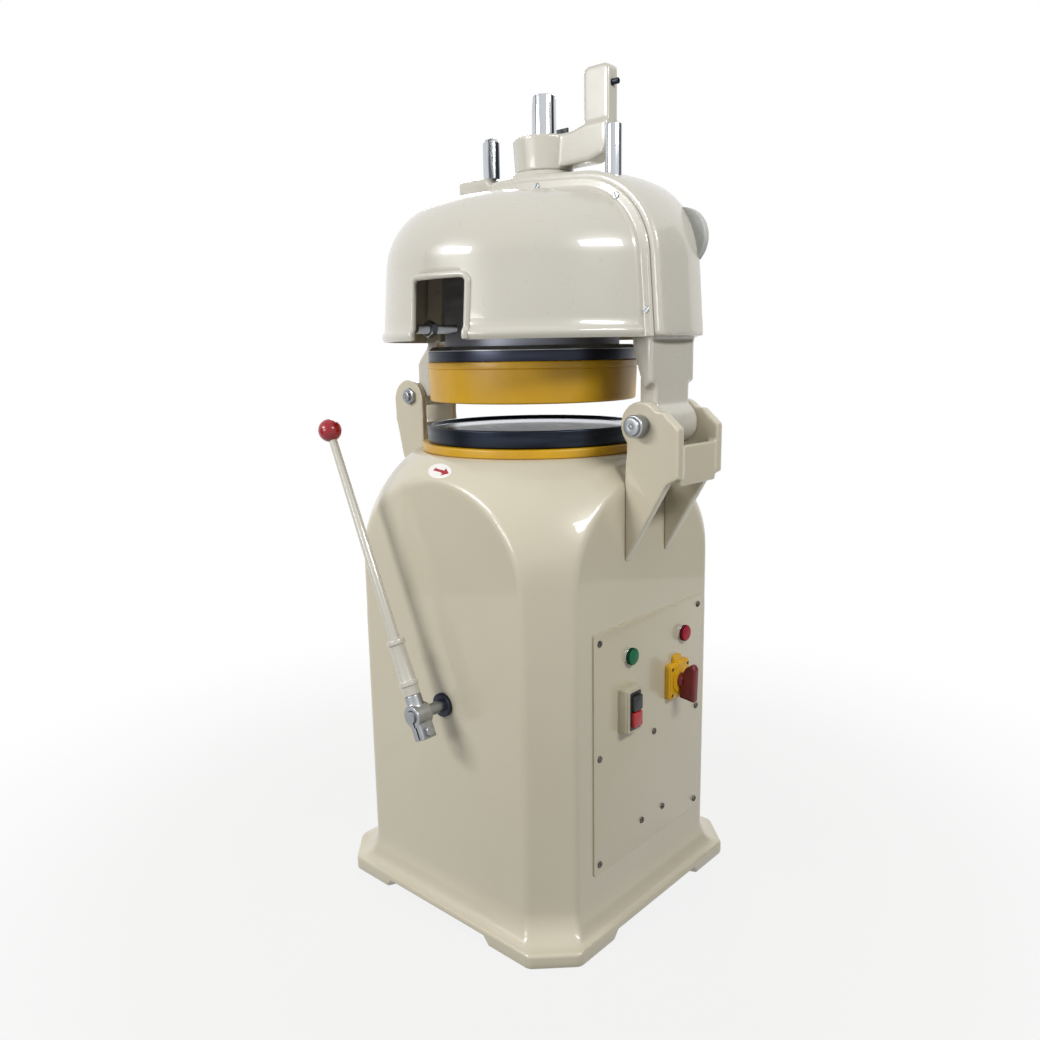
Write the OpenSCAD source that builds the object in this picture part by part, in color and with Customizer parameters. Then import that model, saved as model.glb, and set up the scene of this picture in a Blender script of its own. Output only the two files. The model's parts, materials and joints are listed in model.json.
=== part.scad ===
// Divider rounder: a floor-standing bakery machine that cuts a slab of dough into pieces and rounds them.
// Millimetres, +Z up, origin on the floor at the centre of the footprint.
// The operator stands on the -Y side, the head tilts back on the +Y side, the rounding lever is on +X.

/* [Pedestal] */
// Width of the column across its flats
column_w = 536; // [500:1:570]
// Leg of the bevel on each corner of the column
corner_cut = 64; // [50:1:76]
// Width of the plinth
plinth_w = 600; // [580:1:660]
// Height of the upright lip of the plinth
lip_h = 26; // [20:1:40]
// Height of the flared skirt above the lip
skirt_h = 52; // [36:1:70]
// Gap between two neighbouring feet
foot_gap_w = 268; // [220:1:320]
// Height of the feet under the plinth
foot_h = 16; // [8:1:18]
// Height of the top of the pedestal
table_z = 857; // [800:1:920]
// Height of the curved part of the dome
dome_h = 217; // [190:1:235]
// How far the dome stands clear of the column's corners
dome_ease = 1.2; // [0.6:0.1:12]
// Radius of the arc that closes the dome
dome_arc_r = 272; // [250:1:300]
// Wall of the pedestal casting
wall_t = 9; // [7:0.5:12]
// Radius of the hole in the top that the table stem moves in
well_r = 150; // [110:1:160]
// Distance between the floor bolt holes
bolt_pitch = 490; // [480:1:496]
// Bore of the floor bolt holes, tapped M12
bolt_bore_d = 10.2; // [8:0.1:14]
// Depth of the floor bolt holes
bolt_bore_depth = 30; // [15:1:40]

/* [Table] */
// Radius of the yellow ring under the pan
table_ring_r = 214; // [205:1:216]
// Height of that ring
table_ring_h = 16; // [12:1:24]
// Outer radius of the dough pan
pan_r = 205; // [200:1:208]
// Height of the dough pan
pan_h = 32; // [26:1:40]
// Wall of the dough pan
pan_t = 6; // [4:0.5:8]
// Depth of the dish in the dough pan
dish_h = 8; // [4:1:20]
// Clear height between the pan and the cutter ring
dough_gap = 45; // [36:1:60]
// Radius of the orbit that rounds the dough
orbit_r = 12; // [6:0.5:14]

/* [Head] */
// Outer radius of the yellow cutter ring
cutter_r = 200; // [195:1:204]
// Height of the cutter ring
cutter_h = 73; // [64:1:84]
// Wall of the cutter ring
cutter_t = 11; // [8:0.5:12]
// Height of the dark steel flange on the cutter
flange_h = 27; // [20:1:32]
// Radius of the covers at their lower edge
cover_r = 292; // [280:1:300]
// How far the cover axis lies behind the table axis
cover_y = 20; // [12:1:26]
// Height of the shoulder centre above the lower edge
shoulder_rise = 120; // [100:1:140]
// Radius of the cover shoulder
shoulder_r = 125; // [110:1:135]
// Draft of the cover side, degrees
cover_draft = 4.4; // [2:0.1:6]
// Fall of the cover top, degrees
crown_fall = 5.5; // [3:0.1:8]
// Wall of the covers
cover_t = 4; // [3:0.5:5]
// Width of the cast spine over the head
spine_w = 132; // [120:1:136]
// How far the spine stands proud of the covers
spine_rise = 30; // [24:1:34]
// Height of the tilt hinge above the pedestal top
hinge_rise = 58; // [50:1:66]
// Distance of the tilt hinge behind the table axis
hinge_y = 298; // [290:1:306]
// Radius of the tilt hinge pin
hinge_pin_r = 15; // [12:0.5:17]

/* [Levers] */
// Height of the rounding lever shaft
lever_z = 412; // [400:1:425]
// Distance of that shaft behind the table axis
lever_y = 10; // [4:1:16]
// Radius of that shaft
lever_shaft_r = 11; // [9:0.5:13]
// Length from the shaft to the ball
lever_len = 537; // [480:1:580]
// Lean of the lever towards the operator, degrees
lever_lean = 23.6; // [15:0.1:30]
// Swing of the rounding lever, degrees
lever_swing = 40; // [30:1:44]
// Radius of the ball on the lever
ball_r = 21; // [17:0.5:26]
// Distance of the press spindle behind the table axis
hub_y = 36; // [30:1:44]
// Radius of the press spindle
ram_r = 22; // [18:0.5:26]
// Reach of the swing arm from the spindle
arm_reach = 154; // [140:1:165]
// Height of the flat handle on the swing arm
handle_h = 94; // [80:1:120]

/* [Rear panel] */
// Width of the service panel
panel_w = 346; // [330:1:356]
// Height of the service panel
panel_h = 446; // [430:1:460]
// Height of the lower edge of the panel
panel_z = 122; // [112:1:134]
// Sideways place of the panel's middle
panel_x = -12; // [-18:1:0]
// Radius of the pilot lamps
lamp_r = 13; // [10:0.5:16]
// Side of the isolator's yellow plate
isolator_w = 70; // [60:1:78]

/* [Hidden] */
$fn = 96;

// Overrun of every cut, and the clearances
over = 3;
run_gap = 0.3;
shaft_fit = 0.05;
loose = 1;

// Colours
ivory = [0.91, 0.89, 0.82];
mustard = [0.86, 0.68, 0.16];
dark_steel = [0.20, 0.21, 0.22];
steel = [0.66, 0.68, 0.70];
chrome = [0.80, 0.82, 0.84];
black = [0.08, 0.08, 0.08];
bronze = [0.70, 0.52, 0.26];
beige = [0.80, 0.77, 0.68];
signal_red = [0.78, 0.10, 0.08];
dark_red = [0.58, 0.06, 0.11];
signal_green = [0.10, 0.50, 0.20];
motor_grey = [0.35, 0.42, 0.47];
buffer_grey = [0.74, 0.74, 0.72];

// Pedestal
column_half = column_w / 2;
plinth_half = plinth_w / 2;
dome_z = table_z - dome_h;
dome_r = norm([column_half, column_half - corner_cut]) + dome_ease;
inner_half = column_half - wall_t;
bevel_share = 2 - sqrt(2);
inner_cut = corner_cut - wall_t * bevel_share;
inner_corner = (2 * inner_half - inner_cut) / sqrt(2);
panel_lap = 18;
deck_z = 500;
deck_t = 20;
deck_lug_d = 60;
deck_lug_h = 34;
skirt_steps = 6;

// Heights of the stack on the table, from the bottom up
ring_z = table_z + run_gap;
pan_z = table_z + table_ring_h;
cutter_z = pan_z + pan_h + dough_gap;
flange_z = cutter_z + cutter_h;
cover_gap = 10;
cover_z = flange_z + flange_h + cover_gap;
hinge_z = table_z + hinge_rise;

// Cover profile: side line, shoulder arc and crown line, each tangent to the next
shoulder_z = cover_z + shoulder_rise;
shoulder_y = cover_r - shoulder_r * cos(cover_draft)
  - (shoulder_rise + shoulder_r * sin(cover_draft)) * tan(cover_draft);
cover_reach = 2 * cover_r;
tangent_ease = 0.04;
function side_tangent(grow) =
  [shoulder_y + (shoulder_r + grow) * cos(cover_draft), shoulder_z + (shoulder_r + grow) * sin(cover_draft)];
function crown_tangent(grow) =
  [shoulder_y + (shoulder_r + grow) * sin(crown_fall), shoulder_z + (shoulder_r + grow) * cos(crown_fall)];
function side_r(grow, z) = side_tangent(grow)[0] + (side_tangent(grow)[1] - z) * tan(cover_draft);
function crown_z(grow) = crown_tangent(grow)[1] + crown_tangent(grow)[0] * tan(crown_fall);
function crown_at(grow, y) = crown_z(grow) - abs(y - cover_y) * tan(crown_fall);
function shoulder_at(grow, y) =
  shoulder_z + sqrt(pow(shoulder_r + grow, 2) - pow(y - cover_y - shoulder_y, 2));

// Tilt hinge bracket on the rear of the pedestal
cheek_t = 18;
cheek_in = 52;
cheek_r = 40;
cheek_out = 75;
cheek_drop = 240;
web_t = 14;
knuckle_r = 38;
knuckle_half = cheek_in - loose;
bush_t = 3;
leg_half = 17;
leg_back = 2;
leg_y = hinge_y + leg_back;
leg_step = cheek_out + over;
web_low_share = 0.41;
web_h_share = 0.28;

// Front rest that the head closes on
rest_y = -301;
rest_rise = 36;
rest_z = hinge_z + rest_rise;
rest_pin_r = 10;
ear_t = 14;
ear_in = 36;
ear_r = 34;
ear_drop = 250;
saddle_half = ear_in - loose;
saddle_r = 26;
slot_ease = 3;
rest_web_low_share = 0.46;
rest_web_h_share = 0.22;

// Head casting
spine_half = spine_w / 2;
spine_depth = 40;
spine_front = -38;
rib_clear = 5.5;
rib_gap = cover_t + rib_clear;
rib_depth = 42;
rib_half = 35;
boss_r = 62;
boss_h = 116;
ram_bush_t = 4;
nose_len = 140;
nose_half = 20;
nose_h = 36;
nose_gap = 9;
boss_z = crown_z(0) - boss_h;
pad_rise = 3;
pad_z = crown_z(spine_rise) + pad_rise;

// Swing arm that turns on the spindle
swing_z = pad_z + run_gap;
arm_hub_r = 57;
arm_hub_h = 60;
arm_half = 20;
handle_w = 53;
handle_half = 14;
handle_corner_r = 10;
nut_r = 33;
nut_h = 46;
spindle_out = 74;

// Knives and the pressing segments between them
knife_t = 3;
knife_gap = 1;
knife_h = 46;
carrier_t = 8;
segment_h = 16;
zone_shares = [0, 0.36, 0.68, 1];
zone_cells = [6, 10, 14];
knife_r = cutter_r - cutter_t - orbit_r;
segment_inset = 4;
knife_inset = 2;
segment_z = cutter_z + segment_inset;
knife_z = segment_z + knife_inset;
segment_rod_r = 5;
cell_mid_share = 0.55;
segment_eye_r = 9;
knife_eye_r = 5;

// Drive under the table
crank_r = 22;
crank_head_r = 80;
crank_head_h = 36;
crank_head_drop = 117;
crank_head_z = table_z - crank_head_drop;
slide_w = 56;
slide_depth = 24;
slide_len = 110;
stem_r = 52;
stem_gap = 19;
stem_z = crank_head_z + crank_head_h + stem_gap;
crank_pin_r = 25;
hub_t = 12;
hub_r = 168;
bearing_r = 40;
bearing_w = 20;
housing_r = 58;
housing_flange_r = 105;
housing_flange_t = 16;
housing_gap = 12;
housing_drop = 36;
housing_top = crank_head_z - housing_gap;
housing_low = deck_z - housing_drop;
throw_r = 26;
throw_pin_r = 6;
collar_r = 46;
collar_h = 30;
collar_groove = 10;
collar_lift = 2 * throw_r * sin(lever_swing / 2);
collar_z = lever_z - collar_lift / 2;
pulley_h = 36;
pulley_gap = 4;
pulley_z = collar_z - collar_h / 2 - pulley_h - pulley_gap;
pulley_r = 130;
motor_pulley_r = 42;
belt_t = 8;
belt_h = 22;
motor_at = [-175, -110];
motor_r = 68;
motor_h = 210;
motor_shaft_r = 12;
motor_foot = 79;
motor_hole_r = 30;
push_rod_r = 7;

// Rounding lever
lever_out = 82;
lever_hub_w = 34;
lever_hub_r = 20;
lever_end_out = 4;
lever_x = column_half + lever_out - lever_hub_w / 2 - lever_end_out;
socket_low = 16;
lever_socket_r = 15;
lever_socket_h = 118;
lever_rod_r = 8.5;
sleeve_len = 130;
sleeve_r = 17;
sleeve_flange_out = 5;
sleeve_flange_t = 8;
rod_seat_share = 0.4;
ball_seat_share = 0.3;

// Places on the rear panel, as shares of its width and height from its middle
panel_t = 3;
panel_face = column_half + panel_t;
panel_middle = panel_z + panel_h / 2;
screw_shares = [[0.455, 0.46], [-0.455, 0.46], [0.455, -0.01], [-0.455, -0.01], [0.455, -0.46],
  [-0.455, -0.46], [-0.03, -0.02], [0.08, -0.39], [-0.12, -0.39]];
green_share = [0.2, 0.36];
red_share = [-0.3, 0.36];
switch_share = [0.23, 0.15];
isolator_share = [-0.23, 0.17];
edge_share = 0.4;
switch_w = 54;
switch_h = 84;
switch_d = 26;
button_r = 13;
button_out = 8;
button_travel = 3;
button_share = 0.22;
isolator_t = 12;
knob_r = 27;
knob_t = 9;
grip_w = 17;
grip_h = 60;
grip_d = 26;
screw_head_r = 6;
screw_head_h = 4;

function at_panel(share) = [panel_x + share[0] * panel_w, panel_middle + share[1] * panel_h];
function outline(shares, corner, size) = [for (s = shares) corner + [s[0] * size[0], s[1] * size[1]]];

// An outline in the YZ plane, as thick as w along X
module side_plate(w) {
  rotate([90, 0, 90]) linear_extrude(w, center = true) children();
}

// A round bar along X, from x0 to x1
module bar_x(r, x0, x1, y, z) {
  translate([x0, y, z]) rotate([0, 90, 0]) cylinder(r = r, h = x1 - x0);
}

// What is drawn standing up in XY faces +Y at this place
module on_rear(x, y, z) {
  translate([x, y, z]) rotate([-90, 0, 0]) children();
}

// Square with bevelled corners
module bevel_square(half, cut) {
  flat = half - cut;
  polygon([[half, -flat], [half, flat], [flat, half], [-flat, half],
    [-half, flat], [-half, -flat], [-flat, -half], [flat, -half]]);
}

// Hexagon prism across its flats
module hexagon(flats, h) {
  cylinder(r = flats / sqrt(3), h = h, $fn = 6);
}

// Slotted round screw head, standing up
head_top_share = 0.8;
slot_w_share = 0.24;
slot_low_share = 0.55;

module screw_head(r, h) {
  slot = r * slot_w_share;
  difference() {
    cylinder(r1 = r, r2 = r * head_top_share, h = h);
    translate([-slot / 2, -r - over, h * slot_low_share]) cube([slot, 2 * (r + over), h + over]);
  }
}

// Half outline of the dome, to be turned about Z
module dome_outline(inset) {
  top = table_z - inset;
  r = dome_r - inset;
  intersection() {
    square([r, top]);
    union() {
      square([r, dome_z]);
      translate([dome_r - dome_arc_r, dome_z]) circle(r = dome_arc_r - inset, $fn = 180);
    }
  }
}

module dome(inset) {
  rotate_extrude($fn = 180) dome_outline(inset);
}

// Column and dome of the pedestal, solid
module column_form() {
  intersection() {
    linear_extrude(table_z) bevel_square(column_half, corner_cut);
    dome(0);
  }
}

// Reach of the skirt across its flats, and across its corners, at each step of its curve
function skirt_half(i) = column_half + (plinth_half - column_half) * (1 - sin(90 * i / skirt_steps));
function skirt_corner(i) = (2 * skirt_half(i) - corner_cut) / sqrt(2);
function skirt_z(i) = lip_h + skirt_h * (1 - cos(90 * i / skirt_steps));

// Bar with the skirt's curve on both sides, along one direction
module skirt_bar(reach) {
  right = [for (i = [0:skirt_steps]) [reach[i], skirt_z(i)]];
  left = [for (i = [0:skirt_steps]) [-reach[skirt_steps - i], skirt_z(skirt_steps - i)]];
  rotate([90, 0, 0]) linear_extrude(2 * plinth_w, center = true)
    polygon(concat([[-reach[0], 0], [reach[0], 0]], right, left));
}

// Plinth and its hollow curved skirt, solid
module plinth_form() {
  flats = [for (i = [0:skirt_steps]) skirt_half(i)];
  corners = [for (i = [0:skirt_steps]) skirt_corner(i)];
  intersection() {
    skirt_bar(flats);
    rotate([0, 0, 90]) skirt_bar(flats);
    rotate([0, 0, 45]) skirt_bar(corners);
    rotate([0, 0, -45]) skirt_bar(corners);
  }
}

// The casting's corners, in turn
module each_corner() {
  for (a = [45:90:315]) rotate([0, 0, a]) children();
}

module pedestal() {
  open_w = panel_w - 2 * panel_lap;
  open_h = panel_h - 2 * panel_lap;
  color(ivory) difference() {
    union() {
      difference() {
        union() {
          column_form();
          plinth_form();
        }
        translate([0, 0, -over]) linear_extrude(2 * over) bevel_square(inner_half, inner_cut);
        intersection() {
          linear_extrude(table_z) bevel_square(inner_half, inner_cut);
          dome(wall_t);
        }
      }
      each_corner() translate([inner_corner - deck_lug_d, -deck_lug_d / 2, deck_z - deck_lug_h])
        cube([deck_lug_d + wall_t / 2, deck_lug_d, deck_lug_h]);
    }
    translate([0, 0, dome_z]) cylinder(r = well_r, h = table_z);
    translate([-plinth_w, -plinth_w, -over]) cube([2 * plinth_w, 2 * plinth_w, foot_h + over]);
    translate([panel_x - open_w / 2, inner_half - over, panel_middle - open_h / 2])
      cube([open_w, wall_t + 2 * over, open_h]);
    for (s = screw_shares) if (abs(s[0]) > edge_share)
      on_rear(at_panel(s)[0], inner_half - over, at_panel(s)[1])
        cylinder(r = screw_head_r / 2, h = wall_t + 2 * over);
    bar_x(sleeve_r, inner_half - over, column_half + over, lever_y, lever_z);
    floor_bores();
    each_corner() translate([inner_corner - deck_lug_d / 2, 0, deck_z - deck_lug_h - over])
      cylinder(r = screw_head_r, h = deck_lug_h + 2 * over);
  }
}

module floor_bores() {
  for (x = [-1, 1], y = [-1, 1]) translate([x * bolt_pitch / 2, y * bolt_pitch / 2, -over])
    cylinder(d = bolt_bore_d, h = bolt_bore_depth + over);
}

// Four corner feet under the plinth
module feet() {
  color(ivory) difference() {
    linear_extrude(foot_h) difference() {
      bevel_square(plinth_half, corner_cut);
      bevel_square(inner_half, inner_cut);
      for (a = [0, 90]) rotate(a) translate([-foot_gap_w / 2, -plinth_w]) square([foot_gap_w, 2 * plinth_w]);
    }
    floor_bores();
  }
}

// The brackets' outlines start this far inside the column, at these shares of their height, and are cut to it
seat_lap = 1.5;
cheek_seat_shares = [0.62, 0];
ear_seat_shares = [0.5, 0];
function seat(y, low, h, shares) = [for (s = shares) [y, low + s * h]];

// Rear bracket: two cheeks and a web
cheek_shares = [[0.7, 0.6], [1, 0.65], [1, 0.99], [0.6, 1.1], [-0.3, 1.12]];

module hinge_bracket() {
  corner = [hinge_y, hinge_z - cheek_drop];
  inside = seat(column_half - seat_lap, corner[1], cheek_drop, cheek_seat_shares);
  color(ivory) difference() {
    union() {
      for (side = [-1, 1]) translate([side * (cheek_in + cheek_t / 2), 0, 0]) side_plate(cheek_t) union() {
        polygon(concat(inside, outline(cheek_shares, corner, [cheek_out, cheek_drop])));
        translate([hinge_y, hinge_z]) circle(r = cheek_r);
      }
      translate([-cheek_in - over, hinge_y + cheek_out - web_t - over, hinge_z - cheek_drop * web_low_share])
        cube([2 * (cheek_in + over), web_t, cheek_drop * web_h_share]);
    }
    column_form();
    bar_x(hinge_pin_r + shaft_fit, -2 * cheek_in, 2 * cheek_in, hinge_y, hinge_z);
  }
}

// Front rest: two ears that hold the cross pin under the closed head
ear_shares = [[-0.95, 0.5], [-1.5, 0.83], [1.05, 0.83]];
ear_head_r = 44;
ear_head_out = 8;
ear_head_drop = 10;

module front_bracket() {
  corner = [rest_y, rest_z - ear_drop];
  inside = seat(seat_lap - column_half, corner[1], ear_drop, ear_seat_shares);
  color(ivory) difference() {
    union() {
      for (side = [-1, 1]) translate([side * (ear_in + ear_t / 2), 0, 0]) side_plate(ear_t) union() {
        polygon(concat(inside, outline(ear_shares, corner, [ear_r, ear_drop])));
        translate([rest_y - ear_head_out, rest_z - ear_head_drop]) circle(r = ear_head_r);
      }
      translate([-ear_in - over, rest_y - ear_r, rest_z - ear_drop * rest_web_low_share])
        cube([2 * (ear_in + over), web_t, ear_drop * rest_web_h_share]);
    }
    column_form();
    bar_x(rest_pin_r + shaft_fit, -2 * ear_in, 2 * ear_in, rest_y, rest_z);
  }
}

hinge_pin_half = cheek_in + cheek_t;
collar_ring_r = 19;
collar_ring_h = 22;
rest_nut_h = 9;
rest_pin_half = ear_in + ear_t;
thread_out = 6;
nut_share = 3;

module hinge_pin() {
  end = hinge_pin_half + collar_ring_h + thread_out;
  color(steel) bar_x(hinge_pin_r, -end, end, hinge_y, hinge_z);
}

module front_pin() {
  end = rest_pin_half + rest_nut_h + thread_out;
  color(steel) bar_x(rest_pin_r, -end, end, rest_y, rest_z);
}

// Round collars on the ends of the hinge pin, and nuts on those of the front pin
module pin_nuts() {
  color(steel) for (side = [0, 1]) mirror([side, 0, 0]) {
    translate([hinge_pin_half, hinge_y, hinge_z]) rotate([0, 90, 0]) difference() {
      cylinder(r = collar_ring_r, h = collar_ring_h);
      translate([0, 0, -over]) cylinder(r = hinge_pin_r + shaft_fit, h = collar_ring_h + 2 * over);
    }
    translate([rest_pin_half, rest_y, rest_z]) rotate([0, 90, 0]) difference() {
      hexagon(nut_share * rest_pin_r, rest_nut_h);
      translate([0, 0, -over]) cylinder(r = rest_pin_r + shaft_fit, h = rest_nut_h + 2 * over);
    }
  }
}

// Rear panel and what is fixed to it
module service_panel() {
  color(ivory) difference() {
    translate([panel_x - panel_w / 2, column_half, panel_z])
      cube([panel_w, panel_face - column_half, panel_h]);
    for (s = screw_shares) on_rear(at_panel(s)[0], column_half - over, at_panel(s)[1])
      cylinder(r = screw_head_r / 2, h = 3 * over);
    for (s = [green_share, red_share]) on_rear(at_panel(s)[0], column_half - over, at_panel(s)[1])
      cylinder(r = lamp_neck_r, h = 3 * over);
  }
}

module panel_screws() {
  shank = screw_head_r / 2 - shaft_fit;
  color(steel) for (s = screw_shares) on_rear(at_panel(s)[0], panel_face, at_panel(s)[1]) {
    screw_head(screw_head_r, screw_head_h);
    translate([0, 0, -wall_t]) cylinder(r = shank, h = wall_t + screw_head_h / 4);
  }
}

lamp_rim_h = 7;
lamp_rim_r = lamp_r * 1.15;
lamp_neck_r = lamp_r * 0.8;
lamp_neck_out = 8;
lens_floor = 2;
lens_r = lamp_r * 0.9;
lens_dome_r = lamp_r * 1.2;
lens_dome_drop = lamp_r * 0.8;

// Chromed rims of the two lamps, with their necks through the panel
module lamp_bezels() {
  neck = panel_t + lamp_neck_out;
  color(chrome) for (s = [green_share, red_share]) on_rear(at_panel(s)[0], panel_face, at_panel(s)[1])
    difference() {
      union() {
        cylinder(r1 = lamp_rim_r, r2 = lamp_r, h = lamp_rim_h);
        translate([0, 0, -neck]) cylinder(r = lamp_neck_r - shaft_fit, h = neck + lamp_rim_h / 2);
      }
      translate([0, 0, lens_floor]) cylinder(r = lens_r, h = lamp_rim_h + over);
    }
}

module lens(share) {
  on_rear(at_panel(share)[0], panel_face, at_panel(share)[1]) intersection() {
    translate([0, 0, lamp_rim_h - lens_dome_drop]) sphere(r = lens_dome_r);
    translate([0, 0, lens_floor]) cylinder(r = lens_r - shaft_fit, h = 2 * lamp_r);
  }
}

module green_lens() {
  color(signal_green) lens(green_share);
}

module red_lens() {
  color(signal_red) lens(red_share);
}

module switch_box() {
  place = at_panel(switch_share);
  color(beige) difference() {
    on_rear(place[0], panel_face, place[1])
      translate([-switch_w / 2, -switch_h / 2, 0]) cube([switch_w, switch_h, switch_d]);
    for (side = [-1, 1]) on_rear(place[0], panel_face + wall_t, place[1] + side * button_share * switch_h)
      cylinder(r = button_r + run_gap, h = switch_d);
  }
}

module push_button(side) {
  place = at_panel(switch_share);
  low = wall_t + button_travel + loose;
  on_rear(place[0], panel_face + low, place[1] + side * button_share * switch_h)
    cylinder(r = button_r, h = switch_d + button_out - low);
}

module start_button() {
  color(black) push_button(1);
}

module stop_button() {
  color(signal_red) push_button(-1);
}

// Yellow plate of the isolator, with the padlock tab above it and the spindle hole
spindle_r = 6;
tab_w = 26;
isolator_corner = 6;

module isolator_plate() {
  place = at_panel(isolator_share);
  color(mustard) difference() {
    on_rear(place[0], panel_face, place[1]) {
      linear_extrude(isolator_t) bevel_square(isolator_w / 2, isolator_corner);
      translate([-tab_w / 2, -isolator_w / 2 - tab_w / 2, 0]) cube([tab_w, tab_w, isolator_t / 2]);
    }
    on_rear(place[0], panel_face - over, place[1])
      cylinder(r = spindle_r + shaft_fit, h = isolator_t + 2 * over);
  }
}

// Red rotary handle: a disc, an upright grip and its spindle
module isolator_knob() {
  place = at_panel(isolator_share);
  color(dark_red) on_rear(place[0], panel_face + isolator_t + run_gap, place[1]) {
    cylinder(r = knob_r, h = knob_t);
    translate([-grip_w / 2, -grip_h / 2, 0]) cube([grip_w, grip_h - grip_w, knob_t + grip_d]);
    translate([0, grip_h / 2 - grip_w, 0]) cylinder(r = grip_w / 2, h = knob_t + grip_d);
    translate([0, 0, -isolator_t]) cylinder(r = spindle_r, h = isolator_t + knob_t);
  }
}

// Drive: deck inside the pedestal, bearing housing, motor and belt
module drive_deck() {
  color(steel) translate([0, 0, deck_z]) difference() {
    linear_extrude(deck_t) bevel_square(inner_half - loose, inner_cut - loose * bevel_share);
    translate([0, 0, -over]) cylinder(r = housing_r + shaft_fit, h = deck_t + 2 * over);
    translate([motor_at[0], motor_at[1], -over]) cylinder(r = motor_hole_r, h = deck_t + 2 * over);
    deck_bolt_places() translate([0, 0, -over]) cylinder(r = screw_head_r, h = deck_t + 2 * over);
  }
}

// Bolts through the deck: corners, bearing flange and motor foot
module deck_bolt_places() {
  each_corner() translate([inner_corner - deck_lug_d / 2, 0, 0]) children();
  each_corner() translate([(housing_r + housing_flange_r) / 2, 0, 0]) children();
  translate([motor_at[0], motor_at[1], 0]) each_corner() translate([motor_foot, 0, 0]) children();
}

bolt_head_h = 8;
bolt_flats = 18;

module deck_bolts() {
  color(steel) translate([0, 0, deck_z]) {
    each_corner() translate([inner_corner - deck_lug_d / 2, 0, deck_t]) deck_bolt(deck_t + deck_lug_h / 2);
    each_corner() translate([(housing_r + housing_flange_r) / 2, 0, deck_t + housing_flange_t])
      deck_bolt(deck_t + housing_flange_t);
    translate([motor_at[0], motor_at[1], deck_t + housing_flange_t]) each_corner()
      translate([motor_foot, 0, 0]) deck_bolt(deck_t + housing_flange_t);
  }
}

module deck_bolt(len) {
  hexagon(bolt_flats, bolt_head_h);
  translate([0, 0, -len]) cylinder(r = screw_head_r - shaft_fit, h = len + bolt_head_h / 2);
}

module bearing_housing() {
  color(dark_steel) difference() {
    union() {
      translate([0, 0, housing_low]) cylinder(r = housing_r, h = housing_top - housing_low);
      translate([0, 0, deck_z + deck_t]) cylinder(r = housing_flange_r, h = housing_flange_t);
    }
    translate([0, 0, housing_low - over]) cylinder(r = crank_r + bush_t, h = table_z);
    for (z = [housing_low - over, housing_top - bearing_w])
      translate([0, 0, z]) cylinder(r = bearing_r, h = bearing_w + over);
    each_corner() translate([(housing_r + housing_flange_r) / 2, 0, deck_z])
      cylinder(r = screw_head_r, h = deck_t + housing_flange_t + over);
  }
}

module shaft_bearings() {
  color(chrome) for (z = [housing_low, housing_top - bearing_w]) translate([0, 0, z]) difference() {
    cylinder(r = bearing_r - shaft_fit, h = bearing_w);
    translate([0, 0, -over]) cylinder(r = crank_r + shaft_fit, h = bearing_w + 2 * over);
  }
}

fin_count = 16;
fin_t = 4;
fin_out = 6;
fin_h_share = 0.7;
hood_share = 0.2;
foot_cut_share = 0.3;
shaft_in_share = 0.55;

module motor_body() {
  base_z = deck_z + deck_t;
  color(motor_grey) translate([motor_at[0], motor_at[1], base_z]) difference() {
    union() {
      linear_extrude(housing_flange_t) bevel_square(motor_foot, motor_foot * foot_cut_share);
      cylinder(r = motor_r - fin_out, h = motor_h);
      for (i = [0:fin_count - 1]) rotate([0, 0, 360 * i / fin_count])
        translate([0, -fin_t / 2, housing_flange_t]) cube([motor_r, fin_t, motor_h * fin_h_share]);
      translate([0, 0, motor_h * (1 - hood_share)]) cylinder(r = motor_r, h = motor_h * hood_share);
    }
    translate([0, 0, -over]) cylinder(r = motor_shaft_r + loose, h = motor_h * shaft_in_share + 2 * over);
    each_corner() translate([motor_foot, 0, -over])
      cylinder(r = screw_head_r, h = housing_flange_t + 2 * over);
  }
}

belt_z = pulley_z + (pulley_h - belt_h) / 2;
belt_lap = 2;
belt_ease = 0.1;
belt_big = pulley_r - belt_t + run_gap;
belt_small = motor_pulley_r - belt_t + run_gap;
belt_aim = atan2(motor_at[1], motor_at[0]);
belt_turn = acos((belt_big - belt_small) / norm(motor_at));
belt_run = sqrt(pow(norm(motor_at), 2) - pow(belt_big - belt_small, 2));
function rim(r, a) = r * [cos(a), sin(a)];

// Belt: an arc on each pulley and the two straight runs between them
module drive_belt() {
  color(black) translate([0, 0, belt_z]) linear_extrude(belt_h) {
    difference() {
      belt_ring(belt_big);
      belt_wedge();
    }
    translate(motor_at) intersection() {
      belt_ring(belt_small);
      belt_wedge();
    }
    for (side = [-1, 1]) rotate(belt_aim + side * belt_turn)
      translate([belt_big + belt_ease, (side > 0 ? -belt_run : 0) - belt_lap])
        square([belt_t - 2 * belt_ease, belt_run + 2 * belt_lap]);
  }
}

module belt_ring(r) {
  difference() {
    circle(r = r + belt_t);
    circle(r = r);
  }
}

// All directions that look from the big pulley towards the motor, between the tangent points
module belt_wedge() {
  far = 2 * pulley_r;
  polygon([[0, 0], rim(far, belt_aim - belt_turn), rim(far, belt_aim), rim(far, belt_aim + belt_turn)]);
}

// Pulley with a flat groove for the belt
module pulley(r, bore) {
  difference() {
    cylinder(r = r, h = pulley_h);
    translate([0, 0, (pulley_h - belt_h) / 2 - loose]) difference() {
      cylinder(r = r + over, h = belt_h + 2 * loose);
      cylinder(r = r - belt_t, h = belt_h + 2 * loose);
    }
    translate([0, 0, -over]) cylinder(r = bore, h = pulley_h + 2 * over);
  }
}

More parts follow.
